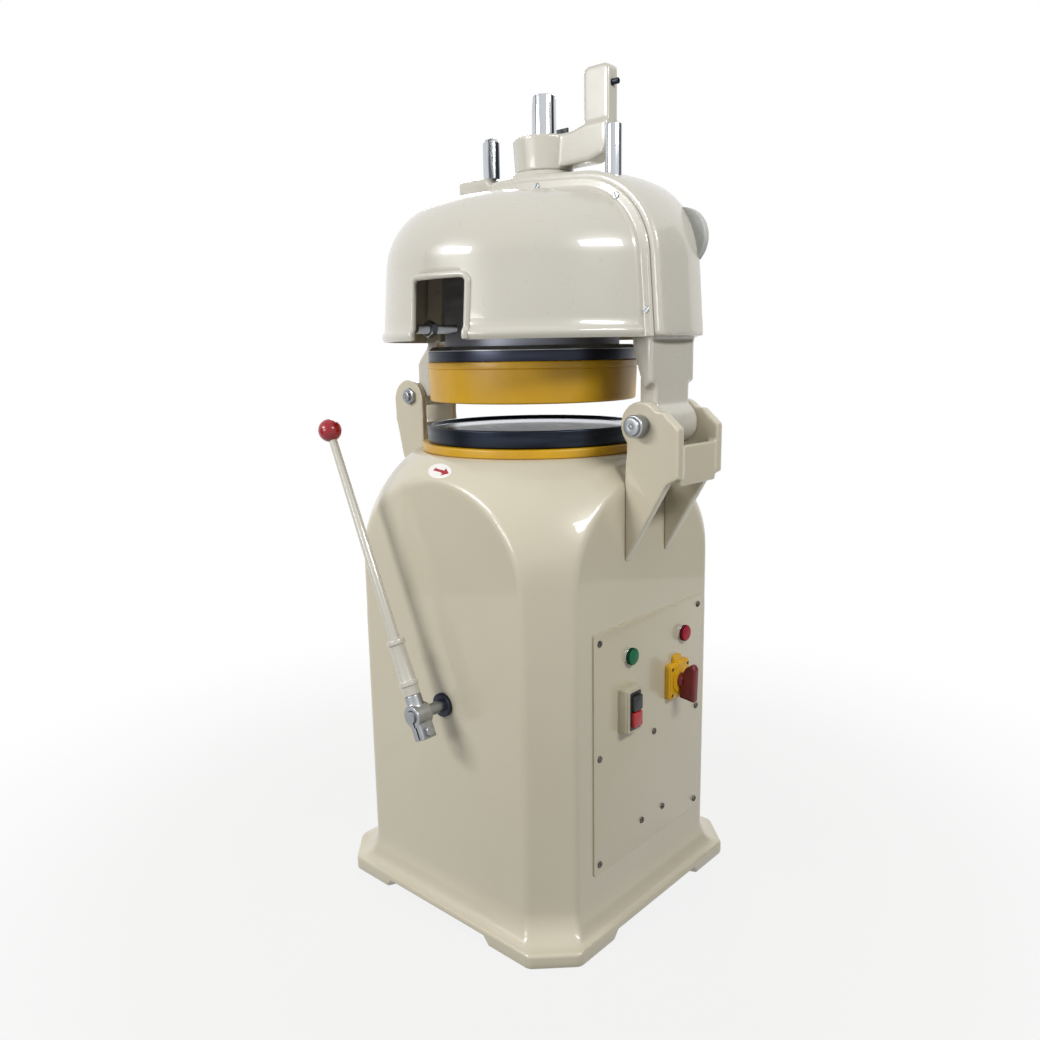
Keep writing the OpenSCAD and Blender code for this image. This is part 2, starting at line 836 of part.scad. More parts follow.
module motor_pulley() {
  top = deck_z + deck_t + motor_h * shaft_in_share;
  color(steel) translate([motor_at[0], motor_at[1], 0]) {
    translate([0, 0, pulley_z]) pulley(motor_pulley_r, motor_shaft_r - over);
    translate([0, 0, pulley_z - over]) cylinder(r = motor_shaft_r, h = top - pulley_z + over);
  }
}

shaft_tail = 10;
rod_gap = 2;

module crank_shaft() {
  low = pulley_z - shaft_tail;
  color(steel) difference() {
    union() {
      translate([0, 0, low]) cylinder(r = crank_r, h = crank_head_z - low + over);
      translate([0, 0, crank_head_z]) cylinder(r = crank_head_r, h = crank_head_h);
    }
    translate([-crank_head_r - over, -slide_w / 2, crank_head_z + crank_head_h - slide_depth])
      cube([2 * (crank_head_r + over), slide_w, slide_depth + over]);
    translate([0, 0, collar_z - collar_h]) cylinder(r = push_rod_r + shaft_fit, h = table_z);
    translate([-crank_r - over, -throw_pin_r - shaft_fit, collar_z - throw_pin_r - loose])
      cube([2 * (crank_r + over), 2 * (throw_pin_r + shaft_fit),
        collar_lift + 2 * (throw_pin_r + loose)]);
  }
}

module main_pulley() {
  color(dark_steel) translate([0, 0, pulley_z]) pulley(pulley_r, crank_r + shaft_fit);
}

// Grooved collar that the lever lifts along the shaft
module shift_collar() {
  groove_h = 2 * throw_pin_r + loose;
  color(steel) translate([0, 0, collar_z]) difference() {
    translate([0, 0, -collar_h / 2]) cylinder(r = collar_r, h = collar_h);
    translate([0, 0, -groove_h / 2]) difference() {
      cylinder(r = collar_r + over, h = groove_h);
      cylinder(r = collar_r - collar_groove, h = groove_h);
    }
    translate([0, 0, -collar_h]) cylinder(r = crank_r + shaft_fit, h = 2 * collar_h);
  }
}

// Rod inside the shaft, with the cross bar that the collar carries
module push_rod() {
  bar_half = sqrt(pow(crank_r, 2) - pow(throw_pin_r, 2));
  rod_top = crank_head_z + crank_head_h - slide_depth - collar_lift - rod_gap;
  color(chrome) {
    translate([0, 0, collar_z - collar_h / 2])
      cylinder(r = push_rod_r, h = rod_top - collar_z + collar_h / 2);
    bar_x(throw_pin_r, -bar_half, bar_half, 0, collar_z);
  }
}

// Block that slides across the crank head and carries the table's pin
module eccentric_block() {
  low = crank_head_z + crank_head_h - slide_depth;
  pin_top = pan_z - hub_t / 2;
  color(steel) {
    translate([-slide_len / 2, -slide_w / 2 + shaft_fit, low + shaft_fit])
      cube([slide_len, slide_w - 2 * shaft_fit, slide_depth - shaft_fit]);
    translate([0, 0, low + slide_depth - over]) cylinder(r = crank_pin_r, h = pin_top - low - slide_depth);
  }
}

// Table that carries the pan
module table_ring() {
  color(mustard) translate([0, 0, ring_z]) difference() {
    cylinder(r = table_ring_r, h = pan_z - ring_z);
    translate([0, 0, -over]) cylinder(r = hub_r + shaft_fit, h = table_ring_h + 2 * over);
  }
}

module table_hub() {
  color(dark_steel) difference() {
    union() {
      translate([0, 0, pan_z - hub_t]) cylinder(r = hub_r, h = hub_t);
      translate([0, 0, stem_z]) cylinder(r = stem_r, h = pan_z - stem_z);
    }
    translate([0, 0, stem_z - over])
      cylinder(r = crank_pin_r + shaft_fit, h = pan_z - hub_t / 2 - stem_z + over);
  }
}

module dough_pan() {
  color(chrome) translate([0, 0, pan_z]) rotate_extrude() difference() {
    union() {
      square([pan_r, pan_h - pan_t / 2]);
      translate([pan_r - pan_t / 2, pan_h - pan_t / 2]) circle(r = pan_t / 2);
    }
    translate([-over, pan_h - dish_h]) square([pan_r - pan_t + over, pan_h]);
  }
}

// Rounding lever, from the shaft to the ball
module lever_bush() {
  color(dark_steel) difference() {
    union() {
      bar_x(sleeve_r, column_half - sleeve_len, column_half, lever_y, lever_z);
      bar_x(sleeve_r + sleeve_flange_out, column_half, column_half + sleeve_flange_t, lever_y, lever_z);
    }
    bar_x(lever_shaft_r + shaft_fit, 0, column_w, lever_y, lever_z);
  }
}

arm_gap = 4;
arm_x = collar_r + arm_gap;
arm_w = 12;
throw_arm_half = 4.5;
throw_boss_r = 9;
shaft_boss_r = 15;
groove_reach = 7;

module lever_shaft() {
  end = column_half + lever_out;
  rest_a = lever_swing / 2;
  pin_y = lever_y - throw_r * cos(rest_a);
  pin_z = lever_z - throw_r * sin(rest_a);
  color(steel) {
    bar_x(lever_shaft_r, arm_x + over, end, lever_y, lever_z);
    bar_x(shaft_boss_r, arm_x, arm_x + arm_w, lever_y, lever_z);
    translate([arm_x + loose, lever_y, lever_z]) rotate([rest_a, 0, 0])
      translate([0, -throw_r, -throw_arm_half]) cube([arm_w - 2 * loose, throw_r, 2 * throw_arm_half]);
    bar_x(throw_boss_r, arm_x, arm_x + arm_w, pin_y, pin_z);
    bar_x(throw_pin_r, collar_r - groove_reach, arm_x + over, pin_y, pin_z);
  }
}

// Turns what stands along Z into the lever's line
module along_lever() {
  translate([lever_x, lever_y, lever_z]) rotate([lever_lean, 0, 0]) children();
}

clamp_lug_w = 26;
clamp_lug_half = 15;
clamp_lug_h = 24;
clamp_bolt_r = 5;
clamp_flats = 16;
clamp_head_h = 8;
clamp_nut_h = 6;
clamp_slot = 4;

module lever_hub() {
  color(steel) difference() {
    union() {
      bar_x(lever_hub_r, lever_x - lever_hub_w / 2, lever_x + lever_hub_w / 2, lever_y, lever_z);
      along_lever() translate([-clamp_lug_half, -clamp_lug_w / 2, -lever_hub_r - clamp_lug_h])
        cube([2 * clamp_lug_half, clamp_lug_w, clamp_lug_h + lever_hub_r]);
      along_lever() cylinder(r = lever_socket_r, h = lever_hub_r + socket_low);
    }
    bar_x(lever_shaft_r + shaft_fit, 0, column_w, lever_y, lever_z);
    along_lever() translate([-lever_hub_w, -clamp_slot / 2, -lever_hub_r - clamp_lug_h - over])
      cube([2 * lever_hub_w, clamp_slot, clamp_lug_h + lever_hub_r]);
    along_lever() translate([0, -clamp_lug_w, -lever_hub_r - clamp_lug_h / 2]) rotate([-90, 0, 0])
      cylinder(r = clamp_bolt_r + shaft_fit, h = 2 * clamp_lug_w);
  }
}

// Pinch bolt of the hub, with its nut
module clamp_bolt() {
  low = -lever_hub_r - clamp_lug_h / 2;
  color(steel) along_lever() translate([0, -clamp_lug_w / 2, low]) rotate([-90, 0, 0]) {
    cylinder(r = clamp_bolt_r, h = clamp_lug_w);
    translate([0, 0, clamp_lug_w]) hexagon(clamp_flats, clamp_head_h);
    translate([0, 0, -clamp_nut_h]) hexagon(clamp_flats, clamp_nut_h);
  }
}

// White tube with two raised bands
band_out = 2.5;
band_h = 9;
band_shares = [0.25, 1];
tube_h = lever_socket_h - socket_low;
tube_low = lever_hub_r + socket_low;

module lever_socket() {
  color(ivory) along_lever() translate([0, 0, tube_low]) difference() {
    union() {
      cylinder(r = lever_socket_r, h = tube_h);
      for (share = band_shares) translate([0, 0, tube_h * share - band_h])
        cylinder(r = lever_socket_r + band_out, h = band_h);
    }
    translate([0, 0, tube_h * rod_seat_share]) cylinder(r = lever_rod_r + shaft_fit, h = tube_h);
  }
}

module lever_rod() {
  low = tube_low + tube_h * rod_seat_share;
  color(ivory) along_lever() translate([0, 0, low])
    cylinder(r = lever_rod_r, h = lever_len - low - ball_r * ball_seat_share);
}

module ball_knob() {
  color(dark_red) along_lever() translate([0, 0, lever_len]) difference() {
    sphere(r = ball_r);
    translate([0, 0, -2 * ball_r]) cylinder(r = lever_rod_r + shaft_fit, h = (2 - ball_seat_share) * ball_r);
  }
}

// Half outline of the covers, grown by this much, above the height low
module cover_outline(grow, low) {
  intersection() {
    union() {
      polygon([[0, low], [side_r(grow, low), low], side_tangent(grow - tangent_ease),
        crown_tangent(grow - tangent_ease), [0, crown_z(grow)]]);
      translate([shoulder_y, shoulder_z]) circle(r = shoulder_r + grow, $fn = 180);
    }
    translate([0, low]) square([cover_reach, cover_reach]);
  }
}

// Arch between two such outlines, in the YZ plane
module arch(outer, inner, low) {
  translate([cover_y, 0]) for (side = [0, 1]) mirror([side, 0]) difference() {
    cover_outline(outer, low);
    translate([0, -over]) cover_outline(inner, low);
  }
}

module head_frame() {
  color(ivory) difference() {
    union() {
      spine();
      side_plate(2 * rib_half) difference() {
        arch(-rib_gap, -rib_gap - rib_depth, cover_z);
        translate([hub_y, 0]) square([cover_reach, cover_reach * 3]);
      }
      rear_leg();
      front_leg();
      translate([0, hub_y, boss_z]) cylinder(r = boss_r, h = pad_z - boss_z);
      nose();
    }
    bar_x(hinge_pin_r + bush_t, -cheek_in, cheek_in, hinge_y, hinge_z);
    translate([0, hub_y, boss_z - over]) cylinder(r = ram_r + ram_bush_t, h = boss_h + pad_z);
    rest_slot();
  }
}

// The covers' form grown to the height of the spine, solid
module spine_form() {
  translate([0, cover_y, 0]) rotate_extrude($fn = 180) cover_outline(spine_rise, cover_z + seam);
}

// Spine: a slice of a turned shell that stands proud of the covers, behind its front end
module spine() {
  intersection() {
    difference() {
      spine_form();
      translate([0, cover_y, -over]) rotate_extrude($fn = 180) cover_outline(-spine_depth, cover_z);
    }
    translate([-spine_half, spine_front, 0]) cube([spine_w, cover_reach, 3 * cover_reach]);
  }
}

// Rear leg, narrow between the cheeks and wide above them
rear_leg_shares = [[-0.15, 1], [-0.15, 0.715], [0.5, 0.337], [1, 0.405], [1, 1]];

module rear_leg() {
  corner = [leg_y - leg_half, hinge_z];
  translate([-knuckle_half, corner[0], hinge_z]) cube([2 * knuckle_half, 2 * leg_half, leg_step + over]);
  side_plate(spine_w)
    polygon(outline(rear_leg_shares, corner, [2 * leg_half, cover_z + spine_rise - hinge_z]));
  bar_x(knuckle_r, -knuckle_half, knuckle_half, hinge_y, hinge_z);
}

// Front leg, from the rib inside the covers to the saddle over the front pin
leg_out = 9;
leg_out_y = rest_y + leg_out;
leg_lap = 40;
saddle_low_share = 0.3;
front_leg_w = 46;
leg_shares = [[0, 0], [0, 0.45], [0.72, 0.7], [0.72, 1], [1.45, 1], [1.45, 0.8], [0.86, 0.45], [0.86, 0]];

module front_leg() {
  rise = cover_z + leg_lap - rest_z;
  side_plate(2 * saddle_half) union() {
    polygon(outline(leg_shares, [leg_out_y, rest_z], [front_leg_w, rise]));
    translate([rest_y, rest_z]) circle(r = saddle_r);
    translate([rest_y, rest_z - saddle_r * saddle_low_share])
      square([saddle_r, saddle_r * (1 + saddle_low_share)]);
  }
}

// Slot that lets the saddle come down over the front pin
module rest_slot() {
  slot = rest_pin_r + slot_ease;
  side_plate(2 * ear_in) union() {
    translate([rest_y, rest_z]) circle(r = rest_pin_r + run_gap);
    translate([rest_y - slot, rest_z - 2 * saddle_r]) square([2 * slot, 2 * saddle_r]);
  }
}

// Nose that reaches forward over the covers, with a dip behind its post
nose_shares = [[0, 0], [0, 1], [0.55, 1], [0.62, 0.68], [1.1, 0.68], [1.1, 0]];

module nose() {
  low = crown_z(0) + nose_gap;
  tip = spine_front - nose_len + nose_half;
  side_plate(2 * nose_half) polygon(outline(nose_shares, [tip, low], [spine_front - tip, nose_h]));
  translate([0, tip, low]) cylinder(r = nose_half, h = nose_h);
}

bush_share = 0.8;

module hinge_bushes() {
  len = knuckle_half * bush_share;
  color(bronze) for (side = [0, 1]) mirror([side, 0, 0]) difference() {
    bar_x(hinge_pin_r + bush_t - shaft_fit, knuckle_half - len, knuckle_half, hinge_y, hinge_z);
    bar_x(hinge_pin_r + shaft_fit, 0, cheek_in, hinge_y, hinge_z);
  }
}

// Covers: a turned shell in two halves, each with a flange against the spine
bead_r = 6;
bead_rise = 8;
seam = 0.6;
flange_rise = 18;
band_t = 5;

slot_half = spine_half + seam;

module cover_half() {
  difference() {
    union() {
      translate([0, cover_y, 0]) rotate_extrude($fn = 180) {
        cover_outline(0, cover_z);
        translate([cover_r - bead_r / 2, cover_z + bead_rise]) circle(r = bead_r);
      }
      intersection() {
        translate([0, cover_y, 0]) rotate_extrude($fn = 180) cover_outline(flange_rise, cover_z);
        translate([slot_half - over, spine_front, 0]) cube([band_t + over, cover_reach, 3 * cover_reach]);
      }
    }
    translate([0, cover_y, -over]) rotate_extrude($fn = 180) cover_outline(-cover_t, cover_z);
    translate([-cover_reach, -cover_reach, 0]) cube([cover_reach + seam, 2 * cover_reach, 3 * cover_reach]);
    translate([-slot_half, spine_front - seam, 0]) cube([2 * slot_half, cover_reach, 3 * cover_reach]);
  }
}

// Window open at the bottom of the right cover
window_w = 115;
window_h = 102;
window_y = 47;
window_r = 12;

module cover_window() {
  translate([cover_r, window_y, 0]) side_plate(cover_r) union() {
    translate([-window_w / 2, cover_z - over]) square([window_w, window_h - window_r + over]);
    translate([-window_w / 2 + window_r, cover_z]) square([window_w - 2 * window_r, window_h]);
    for (side = [-1, 1]) translate([side * (window_w / 2 - window_r), cover_z + window_h - window_r])
      circle(r = window_r);
  }
}

module right_cover() {
  color(ivory) difference() {
    cover_half();
    cover_window();
    cover_screw_places() translate([0, 0, -band_t - over])
      cylinder(r = screw_head_r / 2, h = band_t + 2 * over);
  }
}

module left_cover() {
  color(ivory) difference() {
    mirror([1, 0, 0]) cover_half();
    mirror([1, 0, 0]) cover_screw_places() translate([0, 0, -band_t - over])
      cylinder(r = screw_head_r / 2, h = band_t + 2 * over);
  }
}

// Places of the flange screws: on the crown, the shoulder and the side
shoulder_screw_a = 52;
side_screw_share = 0.35;
crown_screw_share = 0.31;

flange_mid = flange_rise / 2;
flange_x = slot_half + band_t / 2;
function flange_y(r) = cover_y + sqrt(pow(r, 2) - pow(flange_x, 2));
function shoulder_screw() = [
  flange_y(shoulder_y + (shoulder_r + flange_mid) * cos(shoulder_screw_a)),
  shoulder_z + (shoulder_r + flange_mid) * sin(shoulder_screw_a)];
function side_screw() = let (z = cover_z + shoulder_rise * side_screw_share)
  [flange_y(side_r(flange_mid, z)), z];
function crown_screw() = let (r = cover_r * crown_screw_share)
  [flange_y(r), crown_at(flange_mid, cover_y + r)];

module cover_screw_places() {
  for (p = [crown_screw(), shoulder_screw(), side_screw()])
    translate([slot_half + band_t, p[0], p[1]]) rotate([0, 90, 0]) children();
}

module cover_screws() {
  color(steel) for (side = [0, 1]) mirror([side, 0, 0]) cover_screw_places() {
    screw_head(screw_head_r, screw_head_h);
    translate([0, 0, -band_t]) cylinder(r = screw_head_r / 2 - shaft_fit, h = band_t + screw_head_h / 4);
  }
}

// Guide of the spindle in the boss
module ram_bush() {
  color(bronze) translate([0, hub_y, boss_z]) difference() {
    cylinder(r = ram_r + ram_bush_t - shaft_fit, h = boss_h / 2);
    translate([0, 0, -over]) cylinder(r = ram_r + shaft_fit, h = boss_h);
  }
}

// Posts on the head
post_y = -97;
post_w = 32;
post_t = 14;
post_h = 71;
guide_r = 14;
guide_h = 76;
guide_foot_r = 21;
guide_foot_h = 6;
guide_inset = 24;
guide_at = [spine_half - guide_inset, 222];
guide_z = shoulder_at(spine_rise, cover_y + norm(guide_at - [0, cover_y]));

module front_post() {
  low = crown_z(0) + nose_gap + nose_h;
  bevel = post_t / 2;
  half = post_w / 2;
  color(chrome) translate([0, post_y, low]) side_plate(post_t)
    polygon([[-half, 0], [half, 0], [half, post_h - bevel], [half - bevel, post_h], [bevel - half, post_h],
      [-half, post_h - bevel]]);
}

module guide_post() {
  color(chrome) difference() {
    translate([guide_at[0], guide_at[1], guide_z - 2 * guide_foot_h]) {
      cylinder(r = guide_r, h = guide_h + 2 * guide_foot_h);
      cylinder(r = guide_foot_r, h = 3 * guide_foot_h);
    }
    spine_form();
  }
}

// Round buffer let into the back of the spine, which the tilted head comes to rest on
buffer_r = 51;
buffer_t = 14;
buffer_in = 34;
buffer_a = 21.3;

module tilt_buffer() {
  reach = shoulder_r + spine_rise - buffer_in;
  y = cover_y + shoulder_y + reach * cos(buffer_a);
  z = shoulder_z + reach * sin(buffer_a);
  color(buffer_grey) difference() {
    bar_x(buffer_r, -spine_half, buffer_t - spine_half, y, z);
    spine_form();
  }
}

// Spindle that presses the cutter head down
module press_ram() {
  color(chrome) translate([0, hub_y, flange_z]) cylinder(r = ram_r, h = hub_top + spindle_out - flange_z);
}

drum_r = 165;
drum_h = 134;
drum_neck_r = 45;
drum_neck_h = 16;
drum_t = 8;
flange_plate = 10;
flange_inset = 2;
flange_r = cutter_r - flange_inset;
flange_bevel = 7;

// Flange with an open drum on it and the neck that holds the spindle
module press_flange() {
  drum_top = flange_h + drum_h;
  color(dark_steel) translate([0, 0, flange_z]) difference() {
    union() {
      rotate_extrude() difference() {
        polygon([[0, 0], [flange_r, 0], [flange_r, flange_h - flange_bevel],
          [flange_r - flange_bevel, flange_h], [drum_r, flange_h], [drum_r, drum_top], [0, drum_top]]);
        translate([-over, flange_plate]) square([drum_r - drum_t + over, drum_top]);
      }
      translate([0, hub_y, 0]) cylinder(r = drum_neck_r, h = drum_top + drum_neck_h);
    }
    translate([0, hub_y, -over]) cylinder(r = ram_r + shaft_fit, h = 2 * drum_top);
  }
}

// Stud and nut on the side of the drum, seen through the window
stud_y = -45;
stud_r = 8;
stud_rise = 31;
stud_gap = 39;
stud_out = cover_r - stud_gap - drum_r;
stud_nut_h = 13;
stud_flats = 26;
stud_nut_share = 0.55;

module drum_stud() {
  root = sqrt(pow(drum_r, 2) - pow(abs(stud_y) + 2 * stud_r, 2)) - over;
  z = flange_z + flange_h + stud_rise;
  color(steel) difference() {
    union() {
      bar_x(stud_r, root, drum_r + stud_out, stud_y, z);
      translate([drum_r + stud_out * stud_nut_share, stud_y, z]) rotate([0, 90, 0])
        hexagon(stud_flats, stud_nut_h);
    }
    cylinder(r = drum_r, h = 2 * z);
  }
}

module cutter_ring() {
  color(mustard) translate([0, 0, cutter_z]) difference() {
    cylinder(r = cutter_r, h = cutter_h);
    translate([0, 0, -over]) cylinder(r = cutter_r - cutter_t, h = cutter_h + 2 * over);
  }
}

// Radius of a ring of blades
function zone_r(i) = knife_r * zone_shares[i];

// Flat radial blades of one zone, this much wider on each side
module zone_blades(i, grow, h) {
  t = knife_t + 2 * grow;
  for (k = [0:zone_cells[i] - 1]) rotate([0, 0, 180 * (2 * k + 1) / zone_cells[i]])
    translate([max(zone_r(i) - grow, 0), -t / 2, 0]) cube([zone_r(i + 1) - zone_r(i) + 2 * grow, t, h]);
}

// Middle of each cell of a zone
module each_cell(i) {
  for (k = [0:zone_cells[i] - 1]) rotate([0, 0, 360 * k / zone_cells[i]])
    translate([zone_r(i) + (zone_r(i + 1) - zone_r(i)) * cell_mid_share, 0, 0]) children();
}

// One pressing block for each cell, hung from the flange on its own rod
module press_segments() {
  color(steel) for (i = [0:2]) {
    inner = i == 0 ? segment_eye_r : zone_r(i) + knife_t / 2 + knife_gap;
    outer = zone_r(i + 1) - knife_t / 2 - knife_gap;
    translate([0, 0, segment_z]) difference() {
      cylinder(r = outer, h = segment_h);
      translate([0, 0, -over]) cylinder(r = inner, h = segment_h + 2 * over);
      translate([0, 0, -over]) zone_blades(i, knife_gap, segment_h + 2 * over);
    }
    each_cell(i) translate([0, 0, segment_z + segment_h - over])
      cylinder(r = segment_rod_r, h = flange_z - segment_z - segment_h + over);
  }
}

// Ring and radial knives under one carrier plate
module knife_grid() {
  carrier_z = knife_z + knife_h;
  color(chrome) difference() {
    union() {
      translate([0, 0, knife_z]) {
        for (i = [0:2]) {
          zone_blades(i, 0, knife_h + over);
          difference() {
            cylinder(r = zone_r(i + 1) + knife_t / 2, h = knife_h + over);
            translate([0, 0, -over]) cylinder(r = zone_r(i + 1) - knife_t / 2, h = knife_h + 3 * over);
          }
        }
      }
      translate([0, 0, carrier_z]) cylinder(r = zone_r(3) + knife_t / 2, h = carrier_t);
    }
    for (i = [0:2]) each_cell(i) translate([0, 0, carrier_z - over])
      cylinder(r = segment_rod_r + run_gap, h = carrier_t + 2 * over);
    translate([0, 0, knife_z - over]) cylinder(r = knife_eye_r, h = knife_h);
  }
}

// Swing arm: a hub on the spindle, an arm to the rear and a flat upright handle
arm_shares = [[0, 0.08], [0, 1], [0.5, 1], [0.68, 1.12], [1, 1.12], [1, 0.5], [0.94, 0.22], [0.75, 0.08]];
hub_taper = 4;
handle_y = hub_y + arm_reach - handle_w / 2;
handle_rise = 4;
hub_top = swing_z + arm_hub_h;
handle_z = hub_top + handle_rise;

module swing_arm() {
  color(ivory) difference() {
    union() {
      translate([0, hub_y, swing_z]) cylinder(r1 = arm_hub_r - hub_taper, r2 = arm_hub_r, h = arm_hub_h);
      side_plate(2 * arm_half) polygon(outline(arm_shares, [hub_y, swing_z], [arm_reach, arm_hub_h]));
      translate([0, handle_y, handle_z]) side_plate(2 * handle_half) handle_outline();
    }
    translate([0, hub_y, swing_z - over]) cylinder(r = ram_r + shaft_fit, h = 2 * arm_hub_h);
    translate([0, hub_y, swing_z - over]) cylinder(r = nut_r + shaft_fit, h = nut_h + over);
    translate([0, handle_y, handle_z + handle_h * grub_share]) rotate([-90, 0, 0])
      cylinder(r = grub_r + shaft_fit, h = handle_w);
    for (y = [wing_y, cap_y]) translate([0, y, hub_top - wing_deep])
      cylinder(r = wing_r + shaft_fit, h = arm_hub_h);
  }
}

// Flat handle with rounded corners, standing on its lower edge
module handle_outline() {
  r = handle_corner_r;
  translate([-handle_w / 2, 0]) square([handle_w, handle_h - r]);
  translate([r - handle_w / 2, 0]) square([handle_w - 2 * r, handle_h]);
  for (side = [-1, 1]) translate([side * (handle_w / 2 - r), handle_h - r]) circle(r = r);
}

// Threaded bronze nut in the hub
module spindle_nut() {
  color(bronze) translate([0, hub_y, swing_z]) difference() {
    cylinder(r = nut_r, h = nut_h - loose);
    translate([0, 0, -over]) cylinder(r = ram_r + shaft_fit, h = nut_h + over);
  }
}

wing_r = 4;
wing_deep = 20;
wing_w = 26;
wing_h = 9;
wing_back = 43;
cap_front = 41;
wing_y = hub_y + wing_back;
cap_y = hub_y - cap_front;
cap_r = 9;
cap_h = 7;
grub_r = 5;
grub_out = 11;
grub_share = 0.68;

// Black wing screw on the hub, behind the spindle
module wing_screw() {
  color(black) translate([0, wing_y, hub_top]) {
    translate([0, 0, -wing_deep]) cylinder(r = wing_r, h = wing_deep + wing_h);
    cylinder(r = 2 * wing_r, h = wing_h / 2);
    translate([-wing_r / 2, -wing_w / 2, wing_h / 3]) cube([wing_r, wing_w, wing_h]);
  }
}

// Cap screw on the front of the hub and grub screw in the handle
module arm_screws() {
  color(dark_steel) {
    translate([0, cap_y, hub_top]) {
      translate([0, 0, -wing_deep]) cylinder(r = wing_r, h = wing_deep + cap_h / 2);
      cylinder(r = cap_r, h = cap_h);
    }
    translate([0, handle_y, handle_z + handle_h * grub_share])
      rotate([-90, 0, 0]) cylinder(r = grub_r, h = handle_w / 2 + grub_out);
  }
}

pedestal();
feet();
hinge_bracket();
front_bracket();
hinge_pin();
front_pin();
pin_nuts();
service_panel();
panel_screws();
lamp_bezels();
green_lens();
red_lens();
switch_box();
isolator_plate();
lever_bush();
drive_deck();
deck_bolts();
bearing_housing();
shaft_bearings();
motor_body();
drive_belt();
start_button();
stop_button();
isolator_knob();
motor_pulley();
crank_shaft();
main_pulley();
shift_collar();
push_rod();
eccentric_block();
table_ring();
table_hub();
dough_pan();
lever_shaft();
lever_hub();
clamp_bolt();
lever_socket();
lever_rod();
ball_knob();
head_frame();
hinge_bushes();
right_cover();
left_cover();
cover_screws();
ram_bush();
front_post();
guide_post();
tilt_buffer();
press_ram();
press_flange();
drum_stud();
cutter_ring();
press_segments();
knife_grid();
swing_arm();
spindle_nut();
wing_screw();
arm_screws();
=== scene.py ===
import json
import math
from functools import partial

import bmesh
import bpy
import numpy as np
from mathutils import Matrix, Vector

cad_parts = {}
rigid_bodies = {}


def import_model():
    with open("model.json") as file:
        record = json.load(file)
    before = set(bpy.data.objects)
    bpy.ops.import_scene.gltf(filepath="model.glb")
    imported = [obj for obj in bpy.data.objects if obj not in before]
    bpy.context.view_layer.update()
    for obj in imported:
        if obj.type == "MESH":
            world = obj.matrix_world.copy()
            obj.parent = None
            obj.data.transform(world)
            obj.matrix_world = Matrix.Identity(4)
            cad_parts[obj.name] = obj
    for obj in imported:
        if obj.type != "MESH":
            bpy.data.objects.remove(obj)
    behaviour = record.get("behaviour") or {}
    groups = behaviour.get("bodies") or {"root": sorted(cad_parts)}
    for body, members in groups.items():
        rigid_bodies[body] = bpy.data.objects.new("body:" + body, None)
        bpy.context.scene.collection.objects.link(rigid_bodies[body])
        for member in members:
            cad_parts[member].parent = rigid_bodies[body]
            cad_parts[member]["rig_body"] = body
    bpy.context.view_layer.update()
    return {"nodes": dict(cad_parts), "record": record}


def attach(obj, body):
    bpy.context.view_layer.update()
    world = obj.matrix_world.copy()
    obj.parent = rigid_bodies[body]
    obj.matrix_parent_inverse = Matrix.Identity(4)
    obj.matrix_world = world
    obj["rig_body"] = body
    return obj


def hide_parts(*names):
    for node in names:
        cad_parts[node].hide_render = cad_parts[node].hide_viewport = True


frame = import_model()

scene = bpy.context.scene
nodes = frame["nodes"]
mm = 0.001  # sizes are in millimetres, apart from the studio's


class Sizes(dict):
    __getattr__ = dict.__getitem__  # sizes.wide reads sizes["wide"]


print("frame loaded,", len(nodes), "nodes")


def addObject(name, data):
    obj = bpy.data.objects.new(name, data)
    scene.collection.objects.link(obj)
    return obj


def newMesh(name, points, edges=(), faces=()):
    mesh = bpy.data.meshes.new(name)
    mesh.from_pydata([tuple(p) for p in np.asarray(points, float) * mm], edges, faces)
    return mesh


# camera
photoCamera = Sizes(azimuth=132.43, elevation=10.71, roll=-1.01, lens=30.83, sensor=36, distance=1764.4,
                    aside=-29.21, height=711.75)


def addCamera(c):
    az, el, roll = (math.radians(a) for a in (c.azimuth, c.elevation, c.roll))
    back = Vector((math.sin(az) * math.cos(el), -math.cos(az) * math.cos(el), math.sin(el)))
    side = Vector((math.cos(az), math.sin(az), 0))
    top = back.cross(side)
    right = side * math.cos(roll) + top * math.sin(roll)
    up = top * math.cos(roll) - side * math.sin(roll)
    data = bpy.data.cameras.new("photoCamera")
    data.lens, data.sensor_width = c.lens, c.sensor
    data.clip_start, data.clip_end = 0.05, 60
    obj = addObject("photoCamera", data)
    turn = Matrix((right, up, back)).transposed().to_4x4()
    turn.translation = (side * c.aside + Vector((0, 0, c.height)) + back * c.distance) * mm
    obj.matrix_world = turn
    scene.camera = obj


addCamera(photoCamera)


# materials
def linear(rgb):
    return tuple((c / 255 / 12.92 if c <= 10 else ((c / 255 + 0.055) / 1.055) ** 2.4) for c in rgb) + (1,)


def feed(tree, value, socket):
    if isinstance(value, bpy.types.Node):
        value = value.outputs[0]
    if isinstance(value, bpy.types.NodeSocket):
        tree.links.new(value, socket)
    else:
        socket.default_value = value


def addNode(tree, kind, inputs=None, **settings):
    made = tree.nodes.new(kind)  # an input is a plain value, a node's output, or a node for its first output
    for key, value in settings.items():
        setattr(made, key, value)
    for key, value in (inputs or {}).items():
        feed(tree, value, made.inputs[key])
    return made


def scaled(add, value, times):
    return add("ShaderNodeMath", {0: value, 1: times}, operation="MULTIPLY")


def noise(add, vector, scale, detail):
    return add("ShaderNodeTexNoise", {"Vector": vector, "Scale": scale, "Detail": detail})


latheMarks = {"streak": 0.14, "ringDeep": 0.02}  # the streaks' change round the axis, and the rings' depth


